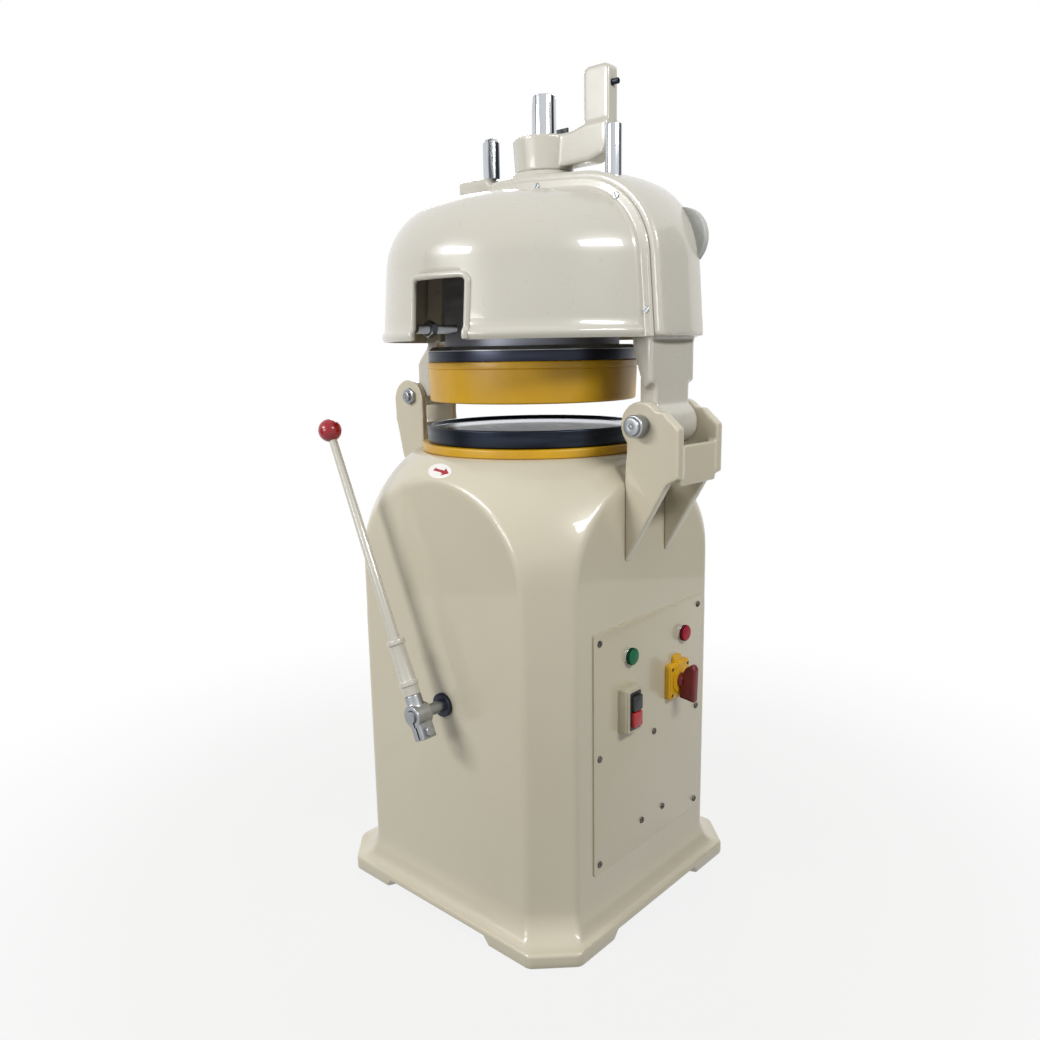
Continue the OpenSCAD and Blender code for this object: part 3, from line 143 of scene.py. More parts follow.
def finish(name, look):
    mat = bpy.data.materials.new(name)
    mat.use_nodes = True
    add = partial(addNode, mat.node_tree)
    spot = add("ShaderNodeTexCoord").outputs["Object"]
    plain = vector = add("ShaderNodeMapping", {"Vector": spot, "Scale": look.get("stretch", (1, 1, 1))})
    grains = [(noise(add, plain, scale, 2), depth) for scale, depth in look.get("bump", ())]
    if "turned" in look:  # the lathe leaves streaks round its axis, and fine rings
        flat = add("ShaderNodeVectorMath", {0: plain, 1: (1, 1, 0)}, operation="MULTIPLY")
        reach = add("ShaderNodeVectorMath", {0: flat}, operation="LENGTH").outputs["Value"]
        parted = add("ShaderNodeSeparateXYZ", {"Vector": plain}).outputs
        slow = scaled(add, parted["X"], latheMarks["streak"])
        vector = add("ShaderNodeCombineXYZ", {"X": reach, "Y": parted["Z"], "Z": slow})
        rings = add("ShaderNodeTexNoise", {"W": reach, "Scale": look["turned"], "Detail": 2},
                    noise_dimensions="1D")
        grains.append((rings, latheMarks["ringDeep"]))
    tone = add("ShaderNodeValToRGB", {"Fac": noise(add, vector, look["toneScale"], 4)})
    for mark, place, key in zip(tone.color_ramp.elements, (0.3, 0.7), ("shade", "base")):
        mark.position, mark.color = place, linear(look[key])  # slow tone change over the surface
    low, high = look["rough"]  # gloss changes in finer patches
    patches = noise(add, vector, look.get("glossScale", 40), 3)
    gloss = add("ShaderNodeMapRange", {"Value": patches, "To Min": low, "To Max": high})
    inputs = {"Base Color": tone, "Roughness": gloss, "Metallic": look.get("metal", 0),
              "Coat Weight": look.get("coat", 0), "Coat Roughness": look.get("coatRough", 0.05),
              "IOR": look.get("ior", 1.5)}
    below = {}
    for height, depth in grains:
        bump = add("ShaderNodeBump", {"Strength": 1, "Distance": depth * mm, "Height": height, **below})
        below = {"Normal": bump}
    for key, value in (inputs | below).items():
        feed(mat.node_tree, value, mat.node_tree.nodes["Principled BSDF"].inputs[key])
    return mat


def look(slot, base, shade, rough, toneScale, **more):
    return dict(slot=slot, base=base, shade=shade, rough=rough, toneScale=toneScale, **more)


paints = {  # slot, two tones, roughness from and to, scale of the tone's patches, then what else it has
    "ivoryPaint": look("ivory_paint", (205, 198, 177), (199, 191, 169), (0.26, 0.36), 3, coat=0.45,
                       coatRough=0.04, bump=((22, 0.25), (420, 0.008))),
    # painted light: the ivory paint again, tinted greyer and cooler and a little darker for the cool light
    # that falls over the head
    "ivoryPaintCoolLight": look("ivory_paint", (200, 197, 186), (194, 190, 178), (0.24, 0.34), 3, coat=0.6,
                      coatRough=0.04, bump=((14, 0.12), (420, 0.008))),
    "panelPaint": look("ivory_paint", (203, 196, 172), (197, 189, 164), (0.28, 0.38), 3, coat=0.35,
                       coatRough=0.05, bump=((22, 0.2), (420, 0.02))),
    "mustardPaint": look("mustard_paint", (211, 163, 16), (190, 143, 12), (0.36, 0.48), 9, coat=0.15,
                         coatRough=0.1, bump=((30, 0.15), (500, 0.02))),
    "blackSteel": look("dark_steel", (62, 66, 79), (42, 45, 56), (0.3, 0.42), 60, metal=0.9, glossScale=140,
                       turned=900),
    # painted light: the dark steel again, much lighter, a little bluer and less metallic, standing in for
    # light reaching the drum inside the head
    "darkSteelPaintedLight": look("dark_steel", (160, 163, 176), (136, 139, 152), (0.4, 0.52), 60, metal=0.3,
                      glossScale=140, turned=900),
    "turnedSteel": look("steel", (172, 175, 178), (146, 149, 152), (0.26, 0.4), 24, metal=1, glossScale=160,
                        bump=((900, 0.015),)),
    "screwSteel": look("steel", (104, 101, 96), (72, 70, 66), (0.3, 0.45), 200, metal=1, glossScale=300,
                       bump=((900, 0.015),)),
    "chrome": look("chrome", (204, 208, 212), (188, 192, 197), (0.08, 0.16), 90, metal=1,
                   stretch=(1, 1, 0.05), glossScale=320, bump=((700, 0.004),)),
    "polishedPan": look("chrome", (64, 70, 81), (30, 35, 44), (0.24, 0.42), 42, metal=1, glossScale=90,
                        turned=700, bump=((26, 0.3),)),
    "bronze": look("bronze", (178, 134, 70), (146, 104, 52), (0.3, 0.45), 30, metal=1, glossScale=120,
                   bump=((600, 0.02),)),
    "blackPlastic": look("black_plastic", (26, 26, 27), (19, 19, 20), (0.38, 0.52), 60, bump=((1500, 0.03),)),
    "crimsonPlastic": look("dark_red_plastic", (168, 14, 30), (142, 9, 24), (0.2, 0.3), 30, coat=0.2,
                           bump=((300, 0.02),)),
    "handlePlastic": look("dark_red_plastic", (122, 22, 26), (100, 16, 22), (0.34, 0.46), 40,
                          bump=((1300, 0.03),)),
    "signalRed": look("signal_red_plastic", (186, 40, 48), (160, 28, 38), (0.3, 0.42), 60,
                      bump=((1300, 0.03),)),
    "beigePlastic": look("beige_plastic", (196, 190, 168), (184, 177, 154), (0.4, 0.55), 30,
                         bump=((1400, 0.04),)),
    "yellowPlastic": look("yellow_plastic", (228, 178, 18), (212, 160, 14), (0.36, 0.48), 30,
                          bump=((1400, 0.03),)),
    "greenLens": look("green_lens", (0, 112, 68), (0, 88, 52), (0.34, 0.46), 90, ior=1.33,
                      bump=((420, 0.05),)),
    "redLens": look("red_lens", (168, 20, 48), (142, 12, 36), (0.34, 0.46), 90, ior=1.33,
                    bump=((420, 0.05),)),
    # painted shade: darker copies of the lens plastics for the ribbed rims, standing in for the shade at the
    # lens edges
    "greenLensRimShade": look("green_lens", (2, 62, 40), (1, 48, 30), (0.4, 0.5), 90, ior=1.33),
    "redLensRimShade": look("red_lens", (104, 8, 26), (84, 4, 20), (0.4, 0.5), 90, ior=1.33),
    "beltRubber": look("belt_rubber", (28, 28, 29), (20, 20, 21), (0.6, 0.8), 50, bump=((900, 0.08),)),
    "bufferRubber": look("buffer_rubber", (186, 187, 184), (172, 173, 170), (0.4, 0.55), 20,
                         bump=((600, 0.05),)),
    "motorPaint": look("motor_paint", (96, 112, 124), (80, 95, 106), (0.35, 0.5), 20, bump=((400, 0.06),)),
    "stickerWhite": look("ivory_paint", (240, 238, 234), (230, 227, 222), (0.35, 0.5), 60),
    "stickerRed": look("signal_red_plastic", (170, 28, 44), (150, 20, 36), (0.35, 0.5), 60),
}
mats = {name: finish(name, row) for name, row in paints.items()}
slotFinish = {row["slot"]: name for name, row in reversed(paints.items())}  # the first finish of each slot
for row in frame["record"]["subparts"]:  # the solids that stay get their slot's finish
    used = nodes[row["node"]].data.materials
    used.clear()
    used.append(mats[slotFinish[row["material_slot"]]])
print("materials made,", len(mats))


# mesh helpers
def settle(obj, body, replaced):
    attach(obj, body)
    if replaced:
        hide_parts(*replaced)
    return obj


def tidyMesh(mesh, sharp, weld=0.004):
    bm = bmesh.new()
    bm.from_mesh(mesh)
    bmesh.ops.remove_doubles(bm, verts=bm.verts, dist=weld * mm)
    bmesh.ops.dissolve_degenerate(bm, edges=bm.edges, dist=weld * mm)
    bmesh.ops.recalc_face_normals(bm, faces=bm.faces)
    bm.to_mesh(mesh)
    bm.free()
    mesh.shade_smooth()
    if sharp:
        mesh.set_sharp_from_angle(angle=math.radians(sharp))


def piece(name, parts, paint, body, replaced=(), sharp=35):
    verts, faces = [], []
    for v, f in parts:
        faces += [tuple(i + len(verts) for i in face) for face in f]
        verts += list(v)
    mesh = newMesh(name, verts, faces=faces)
    tidyMesh(mesh, sharp)
    mesh.materials.append(mats[paint])
    return settle(addObject(name, mesh), body, replaced)


def ringFaces(rows, cols, closeRows=False):
    out = []
    for j in range(rows if closeRows else rows - 1):
        a, b = j * cols, (j + 1) % rows * cols
        for i in range(cols):
            k = (i + 1) % cols
            out.append((a + i, a + k, b + k, b + i))
    return out


def rounded(corners, steps=5):
    out = []  # closed outline with its corners turned round; a corner is (x, y, radius)
    n = len(corners)
    for i in range(n):
        p = np.array(corners[i][:2], float)
        a = np.array(corners[i - 1][:2], float) - p
        b = np.array(corners[(i + 1) % n][:2], float) - p
        la, lb = np.linalg.norm(a), np.linalg.norm(b)
        a, b = a / la, b / lb
        half = math.acos(max(-1, min(1, float(a @ b)))) / 2
        r = corners[i][2]
        if r <= 0 or half > math.radians(89):
            out.append(tuple(p))
            continue
        cut = min(r / math.tan(half), 0.49 * la, 0.49 * lb)
        r = cut * math.tan(half)
        centre = p + (a + b) / np.linalg.norm(a + b) * r / math.sin(half)
        s, e = p + a * cut - centre, p + b * cut - centre
        a0, a1 = math.atan2(s[1], s[0]), math.atan2(e[1], e[0])
        turn = (a1 - a0 + math.pi) % (2 * math.pi) - math.pi
        for k in range(steps + 1):
            t = a0 + turn * k / steps
            out.append((centre[0] + r * math.cos(t), centre[1] + r * math.sin(t)))
    return out


def lathe(outline, cols=96):
    p = np.array(outline, float)  # closed outline of (radius, height), turned about Z
    ang = np.linspace(0, 2 * math.pi, cols, endpoint=False)
    r = np.maximum(p[:, 0], 0)[:, None]
    v = np.stack([r * np.cos(ang), r * np.sin(ang), np.repeat(p[:, 1:2], cols, 1)], -1).reshape(-1, 3)
    return v, ringFaces(len(p), cols, True)


def aim(direction, at):
    m = Vector(direction).to_track_quat("Z", "Y").to_matrix().to_4x4()
    m.translation = Vector(at)
    return np.array(m)


def moved(part, matrix):
    v, f = part
    v = np.asarray(v, float)
    return v @ matrix[:3, :3].T + matrix[:3, 3], f


sideTurn = np.array(((0, 0, 1, 0), (1, 0, 0, 0), (0, 1, 0, 0), (0, 0, 0, 1.0)))  # drawn in XY, stood up in YZ


def flipX(part):
    v, f = part
    return np.asarray(v, float) * np.array([-1, 1, 1]), [face[::-1] for face in f]


def skinFaces(rows, cols):
    return ringFaces(rows, cols) + [tuple(range(cols)), tuple(range((rows - 1) * cols, rows * cols))]


def stack(rows, closed=False):
    n = len(rows[0][0])  # outlines of equal count, each at its own height, skinned in turn
    v = np.concatenate([np.column_stack([np.array(p, float), np.full(n, z)]) for p, z in rows])
    return v, ringFaces(len(rows), n, True) if closed else skinFaces(len(rows), n)


def slab(outline, z0, z1, edge=1.0, steps=3):
    p = np.array(outline, float)  # plate between z0 and z1 with soft edges, drawn in XY
    nxt, prv = np.roll(p, -1, 0), np.roll(p, 1, 0)
    d = nxt - prv
    out = np.stack([d[:, 1], -d[:, 0]], -1)
    out /= np.linalg.norm(out, axis=1)[:, None] + 1e-9
    area = 0.5 * np.sum(p[:, 0] * nxt[:, 1] - nxt[:, 0] * p[:, 1])
    out *= 1 if area > 0 else -1
    levels = []
    for k in range(steps + 1):
        t = math.pi / 2 * k / steps
        levels.append((edge * (1 - math.sin(t)), z0 + edge * (1 - math.cos(t))))
    levels += [(i, z0 + z1 - z) for i, z in reversed(levels)]
    return stack([(p - out * i, z) for i, z in levels])


def box2(w, h, r):
    a, b = w / 2, h / 2
    return rounded([(a, -b, r), (a, b, r), (-a, b, r), (-a, -b, r)])


def hexPart(flats, height, bore=0, cols=48, chamfer=0.9568, slope=62):
    ang = np.linspace(0, 2 * math.pi, cols, endpoint=False)
    reach = flats / 2 / np.cos((ang + math.pi / 6) % (math.pi / 3) - math.pi / 6)
    top = flats / 2 * chamfer
    drop = np.maximum(reach - top, 0) / math.tan(math.radians(slope))
    rows = [(bore, 0), (top, 0), (reach, drop), (reach, height - drop), (top, height), (bore, height)]
    v = np.concatenate([np.column_stack([r * np.cos(ang), r * np.sin(ang), z + 0 * ang]) for r, z in rows])
    return v, ringFaces(len(rows), cols, True)


def makePlain(obj):
    done = bpy.data.meshes.new_from_object(obj.evaluated_get(bpy.context.evaluated_depsgraph_get()))
    obj.modifiers.clear()
    obj.data = done


def softCasting(node, name, paint, voxel, passes, fills=()):
    mesh = nodes[node].data.copy()  # a cast piece: the solid with its edges worn round
    bm = bmesh.new()
    bm.from_mesh(mesh)
    bmesh.ops.remove_doubles(bm, verts=bm.verts, dist=0.01 * mm)
    for v, f in fills:
        corner = [bm.verts.new(p) for p in np.asarray(v, float) * mm]
        for face in f:
            bm.faces.new([corner[i] for i in face])
    bm.to_mesh(mesh)
    bm.free()
    obj = addObject(name, mesh)
    skin = obj.modifiers.new("skin", "REMESH")
    skin.mode, skin.voxel_size = "VOXEL", voxel * mm
    soft = obj.modifiers.new("soft", "SMOOTH")
    soft.factor, soft.iterations = 0.5, passes
    makePlain(obj)
    obj.data.materials.clear()
    obj.data.materials.append(mats[paint])
    obj.data.shade_smooth()
    settle(obj, nodes[node]["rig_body"], (node,))


# geometry node trees
def newTree(name, inputs):
    tree = bpy.data.node_groups.new(name, "GeometryNodeTree")
    tree.interface.new_socket("Geometry", in_out="INPUT", socket_type="NodeSocketGeometry")
    ids = {}
    for key, value in inputs.items():
        kind = "NodeSocketInt" if isinstance(value, int) else "NodeSocketFloat"
        ids[key] = tree.interface.new_socket(key, in_out="INPUT", socket_type=kind).identifier
    tree.interface.new_socket("Geometry", in_out="OUTPUT", socket_type="NodeSocketGeometry")
    return partial(addNode, tree), tree.nodes.new("NodeGroupInput").outputs, (tree, ids)


def endTree(add, geometry, paint):
    real = add("GeometryNodeRealizeInstances", {"Geometry": geometry})
    skin = add("GeometryNodeSetMaterial", {"Geometry": real, "Material": mats[paint]})
    add("NodeGroupOutput", {0: skin})


def standing(add):
    facing = add("GeometryNodeInputNamedAttribute", {"Name": "facing"}, data_type="FLOAT_VECTOR")
    return add("FunctionNodeAlignRotationToVector", {"Vector": facing}, axis="Z")


def runTree(name, mesh, rule, values, body, replaced=(), sharp=35):
    obj = addObject(name, mesh)
    mod = obj.modifiers.new("rule", "NODES")
    mod.node_group, ids = rule
    for key, value in values.items():
        mod[ids[key]] = value
    makePlain(obj)
    tidyMesh(obj.data, sharp)
    return settle(obj, body, replaced)


screwSizes = {"Radius": 6.0, "Height": 3.6, "Slot": 1.5, "Seed": 4}
screwForm = {"sides": 40, "dome": 0.62, "slotLift": 0.62, "slotReach": 3}  # shares of the radius or height


def screwTree(paint):
    add, given, rule = newTree("slottedScrews", screwSizes)
    radius, height, sides = given["Radius"], given["Height"], screwForm["sides"]
    drum = add("GeometryNodeMeshCylinder", {"Vertices": sides, "Radius": radius, "Depth": height})
    ball = add("GeometryNodeMeshUVSphere", {"Segments": sides, "Rings": sides // 2, "Radius": radius})
    flat = add("GeometryNodeTransform", {"Geometry": ball, "Scale": (0.999, 0.999, screwForm["dome"])})
    head = add("GeometryNodeMeshBoolean", {"Mesh 2": drum}, operation="INTERSECT")
    feed(rule[0], flat, head.inputs["Mesh 2"])
    reach = scaled(add, radius, screwForm["slotReach"])
    size = add("ShaderNodeCombineXYZ", {"X": reach, "Y": given["Slot"], "Z": height})
    blade = add("GeometryNodeMeshCube", {"Size": size})
    up = add("ShaderNodeCombineXYZ", {"Z": scaled(add, height, screwForm["slotLift"])})
    lift = add("GeometryNodeTransform", {"Geometry": blade, "Translation": up})
    cut = add("GeometryNodeMeshBoolean", {"Mesh 1": head, "Mesh 2": lift}, operation="DIFFERENCE")
    spin = add("FunctionNodeRandomValue", {3: math.pi, "Seed": given["Seed"]}, data_type="FLOAT").outputs[1]
    about = add("FunctionNodeAxisAngleToRotation", {"Axis": (0, 0, 1), "Angle": spin})
    both = add("FunctionNodeRotateRotation", {"Rotation": standing(add), "Rotate By": about},
               rotation_space="LOCAL")
    place = add("GeometryNodeInstanceOnPoints",
                {"Points": given["Geometry"], "Instance": cut, "Rotation": both})
    endTree(add, place, paint)
    return rule


def rimTree(paint):
    add, given, rule = newTree("rolledRim", {"Radius": 5.0, "Resolution": 14})
    path = add("GeometryNodeMeshToCurve", {"Mesh": given["Geometry"]})
    ring = add("GeometryNodeCurvePrimitiveCircle",
               {"Resolution": given["Resolution"], "Radius": given["Radius"]})
    sweep = add("GeometryNodeCurveToMesh", {"Curve": path, "Profile Curve": ring, "Fill Caps": True})
    endTree(add, sweep, paint)
    return rule


def ribTree(paint):
    add, given, rule = newTree("rimRibs", {"Count": 40, "Reach": 14.0, "Width": 1.2, "Tall": 5.0})
    ring = add("GeometryNodeMeshCircle", {"Vertices": given["Count"], "Radius": given["Reach"]})
    half = scaled(add, given["Width"], 0.5)
    rib = add("GeometryNodeMeshCylinder", {"Vertices": 8, "Radius": half, "Depth": given["Tall"]})
    row = add("GeometryNodeInstanceOnPoints", {"Points": ring, "Instance": rib})
    real = add("GeometryNodeRealizeInstances", {"Geometry": row})
    place = add("GeometryNodeInstanceOnPoints",
                {"Points": given["Geometry"], "Instance": real, "Rotation": standing(add)})
    endTree(add, place, paint)
    return rule


def pointMesh(name, points, facings):
    mesh = newMesh(name, points)
    att = mesh.attributes.new("facing", "FLOAT_VECTOR", "POINT")
    for i, f in enumerate(facings):
        att.data[i].vector = f
    return mesh


print("trees and helpers ready")

# pedestal casting: a bevelled column under a dome, all edges blended
pedestalForm = Sizes(half=268, cut=64, arc=272, arcAt=66, domeZ=640, top=857, soft=6)
pedestalLining = Sizes(half=259, cut=58.7, arc=263, arcAt=66, domeZ=640, top=848, soft=10)
pedestalFoot = Sizes(reach=300, lip=26, lipOver=0.9, skirt=52, edge=6, gapHalf=134, slant=6, rise=16,
                     well=150, eye=560, octantColumns=68, domeRows=92, liningRows=12, flareRows=14,
                     sole=((259, 0), (280, 0), (297, 0), (299, 0.7), (300, 3), (300, 10)),
                     columnRows=(100, 140, 220, 320, 420, 500, 540), innerRows=(400, 200, 60))


def softMax(values, k):
    out = values[0]
    for v in values[1:]:
        h = np.maximum(k - np.abs(out - v), 0) / k
        out = np.maximum(out, v) + h * h * k / 4
    return out


def sideDistance(x, y, half, cut, soft):
    return softMax([np.abs(x) - half, np.abs(y) - half,
                    (np.abs(x) + np.abs(y) - 2 * half + cut) / math.sqrt(2)], soft)


def castingDistance(x, y, z, c):
    r = np.hypot(x, y)
    up = np.maximum(z - c.domeZ, 0)
    dome = np.hypot(np.maximum(r - c.arcAt, 0), up) - c.arc
    return softMax([sideDistance(x, y, c.half, c.cut, c.soft), dome, z - c.top], c.soft)


def firstHit(test, far=700, halvings=44):
    low, high = np.zeros_like(test(0)), np.full_like(test(0), far)
    for _ in range(halvings):
        mid = (low + high) / 2
        inside = test(mid) < 0
        low, high = np.where(inside, mid, low), np.where(inside, high, mid)
    return low


def sideRow(ang, half, form, z):
    c, s = np.cos(ang), np.sin(ang)
    r = firstHit(lambda t: sideDistance(t * c, t * s, half, form.cut, form.soft))
    return np.column_stack([r * c, r * s, np.broadcast_to(z, ang.shape)])


def domeRow(ang, lift, form, eye):
    c, s, u = np.cos(ang) * np.cos(lift), np.sin(ang) * np.cos(lift), np.sin(lift) + 0 * ang
    t = firstHit(lambda d: castingDistance(d * c, d * s, eye + d * u, form))
    return np.column_stack([t * c, t * s, eye + t * u])


def pedestalAngles(form, foot):
    fine = np.linspace(0, 45, 4000)
    edge = math.degrees(math.atan2(form.half - form.cut, form.half))
    weight = 1 + 1.6 * np.exp(-((fine - edge) / 3.2) ** 2)  # columns stand closer at the bevel's edge
    total = np.cumsum(weight)
    octant = np.interp(np.linspace(total[0], total[-1], foot.octantColumns), total, fine)[:-1]
    for p in (foot.gapHalf - foot.slant, foot.gapHalf + foot.slant):
        a = math.degrees(math.atan2(p, foot.reach))
        octant[np.argmin(np.abs(octant - a))] = a  # a column on each end of the slanted foot
    quarter = np.concatenate([octant, 90 - octant[::-1][:-1], [45]])
    quarter = np.unique(np.round(quarter, 6))
    quarter = quarter[quarter < 89.9999]
    return np.radians(np.concatenate([quarter + 90 * k for k in range(4)]))


def makePedestal(form, lining, foot):
    ang = pedestalAngles(form, foot)
    along = foot.reach * np.tan(np.abs((ang + math.pi / 4) % (math.pi / 2) - math.pi / 4))
    raised = np.clip((foot.gapHalf + foot.slant - along) / (2 * foot.slant), 0, 1) * foot.rise
    lipTop = foot.lip - foot.edge
    sole = foot.sole + ((foot.reach, lipTop),)
    outer = [(half, raised + z * (lipTop - raised) / lipTop) for half, z in sole]
    for t in np.linspace(0, math.pi / 2, 7)[1:]:
        half = foot.reach - foot.edge * (1 - math.cos(t))
        outer.append((half, lipTop + (foot.edge + foot.lipOver) * math.sin(t)))
    flare = foot.reach - form.half
    for t in np.radians(np.linspace(15, 90, foot.flareRows)):
        outer.append((form.half + flare * (1 - math.sin(t)), foot.lip + foot.skirt * (1 - math.cos(t))))
    outer += [(form.half, z) for z in foot.columnRows]
    rows = [sideRow(ang, half, form, z) for half, z in outer]
    last = math.atan2(form.top - foot.eye, foot.well)
    rows += [domeRow(ang, t, form, foot.eye) for t in np.linspace(0, last, foot.domeRows)]
    rows += [domeRow(ang, t, lining, foot.eye) for t in np.linspace(last + 0.01, 0, foot.liningRows)]
    rows += [sideRow(ang, lining.half, lining, z) for z in foot.innerRows]
    piece("pedestalCasting", [(np.concatenate(rows), ringFaces(len(rows), len(ang), True))], "ivoryPaint",
          "pedestal", ("pedestal", "feet"), sharp=0)


makePedestal(pedestalForm, pedestalLining, pedestalFoot)
print("pedestal cast")

# small sticker with a plain arrow, laid on the dome
sticker = Sizes(angle=0.6, lift=47.6, wide=62, tall=31, thick=0.35, turn=-8, sunk=0.6, sideR=262, upR=372)


def onDome(aside, up, s, proud):
    ang = np.radians(s.angle) + aside / s.sideR
    lift = np.radians(s.lift) + up / s.upR
    flat = domeRow(np.atleast_1d(ang), np.atleast_1d(lift), pedestalForm, pedestalFoot.eye)
    away = flat - np.array([0, 0, pedestalFoot.eye])
    return flat + away / np.linalg.norm(away, axis=1)[:, None] * proud


def stickerPart(outline, s, proud, rings=8, mid=(0, 0)):
    a = math.radians(s.turn)
    lean = np.array(((math.cos(a), math.sin(a)), (-math.sin(a), math.cos(a))))
    p, mid = np.array(outline, float) @ lean, np.array(mid, float) @ lean
    rows = []
    for k in range(rings + 1):
        q = mid + (p - mid) * (1 - k / rings)
        rows.append(onDome(q[:, 0], q[:, 1], s, proud))
    rows.insert(0, onDome(p[:, 0], p[:, 1], s, -s.sunk))
    bottom = onDome(mid[0] + 0 * p[:, 0], mid[1] + 0 * p[:, 1], s, -s.sunk)
    return np.concatenate(rows + [bottom]), ringFaces(len(rows) + 1, len(p), True)


oval = [(sticker.wide / 2 * math.cos(t), sticker.tall / 2 * math.sin(t))
        for t in np.linspace(0, 2 * math.pi, 48, endpoint=False)]
arrow = [(-15, -3.1), (12, -3.1), (12, -8.4), (27, 0), (12, 8.4), (12, 3.1), (-15, 3.1)]
piece("arrowSticker", [stickerPart(oval, sticker, sticker.thick)], "stickerWhite", "pedestal")
piece("arrowPrint", [stickerPart(arrow, sticker, sticker.thick + 0.15, 4, (16, 0))], "stickerRed", "pedestal")

# brackets, head and levers: castings with worn edges
castings = {
    "hinge_bracket": ("hingeClevis", "ivoryPaint", 2.4, 9),
    "front_bracket": ("frontRest", "ivoryPaint", 2.0, 16),
    # the head casting and swing arm take the cool-lit ivory copy: painted light
    "head_frame": ("headCasting", "ivoryPaintCoolLight", 2.9, 12),
    "swing_arm": ("swingArm", "ivoryPaintCoolLight", 1.7, 26),
    "lever_hub": ("leverClamp", "turnedSteel", 1.1, 5),
    "wing_screw": ("wingKnob", "blackPlastic", 0.7, 4),
}
# each ear of the front rest runs straight into its leg
earFill = Sizes(y0=-352.7, y1=-265.3, z0=897.3, z1=940.7, x0=36.1, x1=49.9)


def earFills(c):
    corners = [(c.y0, c.z0), (c.y1, c.z0), (c.y1, c.z1), (c.y0, c.z1)]
    ear = moved(slab(corners, c.x0, c.x1, 0.3), sideTurn)
    return ear, flipX(ear)


for node, (name, paint, voxel, passes) in castings.items():
    softCasting(node, name, paint, voxel, passes, earFills(earFill) if node == "front_bracket" else ())
    print("cast", name)

# covers: two turned halves with a rolled lip, a seam band and a window
coverForm = Sizes(axisY=20, edge=292, low=1060, draft=4.4, shoulder=125, shoulderRise=120, fall=5.5, wall=4,
                  lipOut=4.2, lipTall=19, slot=66.6, front=-38.6, split=0.6, step=1.2, rearFrom=58,
                  rearStep=3.2, bandThick=5, bandRise=18, bandFoot=9, bandOut=14, bandSunk=3, seamTurn=172,
                  seamX=70)
coverWindow = Sizes(y0=-10.5, y1=104.5, foot=1000, top=1162, corner=12, rim=5.2, cutFrom=180, cutTo=330)


def coverShoulder(c):
    d = math.radians(c.draft)  # the shoulder's arc: its centre's radius and height, and where it starts
    r = c.edge - c.shoulder * math.cos(d) - (c.shoulderRise + c.shoulder * math.sin(d)) * math.tan(d)
    return r, c.low + c.shoulderRise, d


def coverProfile(c):
    cr, cz, d = coverShoulder(c)
    sr, e = c.shoulder, math.radians(c.fall)
    sideTop = cz + sr * math.sin(d) - c.low
    zs = np.concatenate([np.linspace(0, c.lipTall, 12), np.linspace(c.lipTall, sideTop, 9)[1:]])
    side = [(c.edge - z * math.tan(d), c.low + z, math.cos(d), math.sin(d)) for z in zs]
    turn = [(cr + sr * math.cos(t), cz + sr * math.sin(t), math.cos(t), math.sin(t))
            for t in np.linspace(d, math.pi / 2 - e, 40)[1:]]
    r0, z0 = turn[-1][:2]
    crown = [(r, z0 + (r0 - r) * math.tan(e), math.sin(e), math.cos(e)) for r in np.linspace(r0, 0, 44)[1:]]
    p = np.array(side + turn + crown)
    s = np.concatenate([[0], np.cumsum(np.hypot(np.diff(p[:, 0]), np.diff(p[:, 1])))])
    return s, p


coverS, coverP = coverProfile(coverForm)


def coverAt(s, proud=0.0, lip=True):
    r, z, nr, nz = (np.interp(s, coverS, coverP[:, k]) for k in range(4))
    high = z - coverForm.low
    roll = np.where(high < coverForm.lipTall, np.sin(np.pi * np.clip(high / coverForm.lipTall, 0, 1)), 0)
    out = proud + (coverForm.lipOut * roll if lip else 0)
    return r + nr * out, z + nz * out


def coverLimit(ang):
    c = coverForm
    rear = c.slot / np.maximum(np.cos(ang), 1e-6)
    front = (c.axisY - c.front) / np.maximum(np.sin(-ang), 1e-6)
    r = np.where(np.sin(ang) * rear + c.axisY > c.front, rear, front)
    return np.interp(-r, -coverP[:, 0], coverS)


def coverShell():
    c = coverForm
    start = -math.pi / 2 + c.split / c.edge
    rearR = np.arange(c.slot / math.cos(math.radians(c.rearFrom)), c.edge - c.split, c.rearStep)
    ang = np.concatenate([np.radians(np.arange(c.step - 90, c.rearFrom, c.step)), np.arccos(c.slot / rearR)])
    kink = -math.atan2(c.axisY - c.front, c.slot)
    ang = np.unique(np.concatenate([[start, kink], ang]))
    s = np.minimum(coverS[None, :], coverLimit(ang)[:, None])
    sheets = []
    for proud, lip in ((0, True), (-c.wall, False)):
        r, z = coverAt(s, proud, lip)
        z = np.maximum(z, c.low)
        sheets.append(np.stack([r * np.cos(ang)[:, None], c.axisY + r * np.sin(ang)[:, None], z], -1))
    n, m = s.shape
    v = np.concatenate([g.reshape(-1, 3) for g in sheets])
    f = []
    at = lambda k, i, j: k * n * m + i * m + j
    for i in range(n - 1):
        for j in range(m - 1):
            for k, order in ((0, 1), (1, -1)):
                f.append((at(k, i, j), at(k, i + 1, j), at(k, i + 1, j + 1), at(k, i, j + 1))[::order])
    for i in range(n - 1):
        f.append((at(0, i, 0), at(1, i, 0), at(1, i + 1, 0), at(0, i + 1, 0)))
        f.append((at(0, i, m - 1), at(0, i + 1, m - 1), at(1, i + 1, m - 1), at(1, i, m - 1)))
    for j in range(m - 1):
        f.append((at(0, 0, j), at(0, 0, j + 1), at(1, 0, j + 1), at(1, 0, j)))
        f.append((at(0, n - 1, j), at(1, n - 1, j), at(1, n - 1, j + 1), at(0, n - 1, j + 1)))
    return v, f


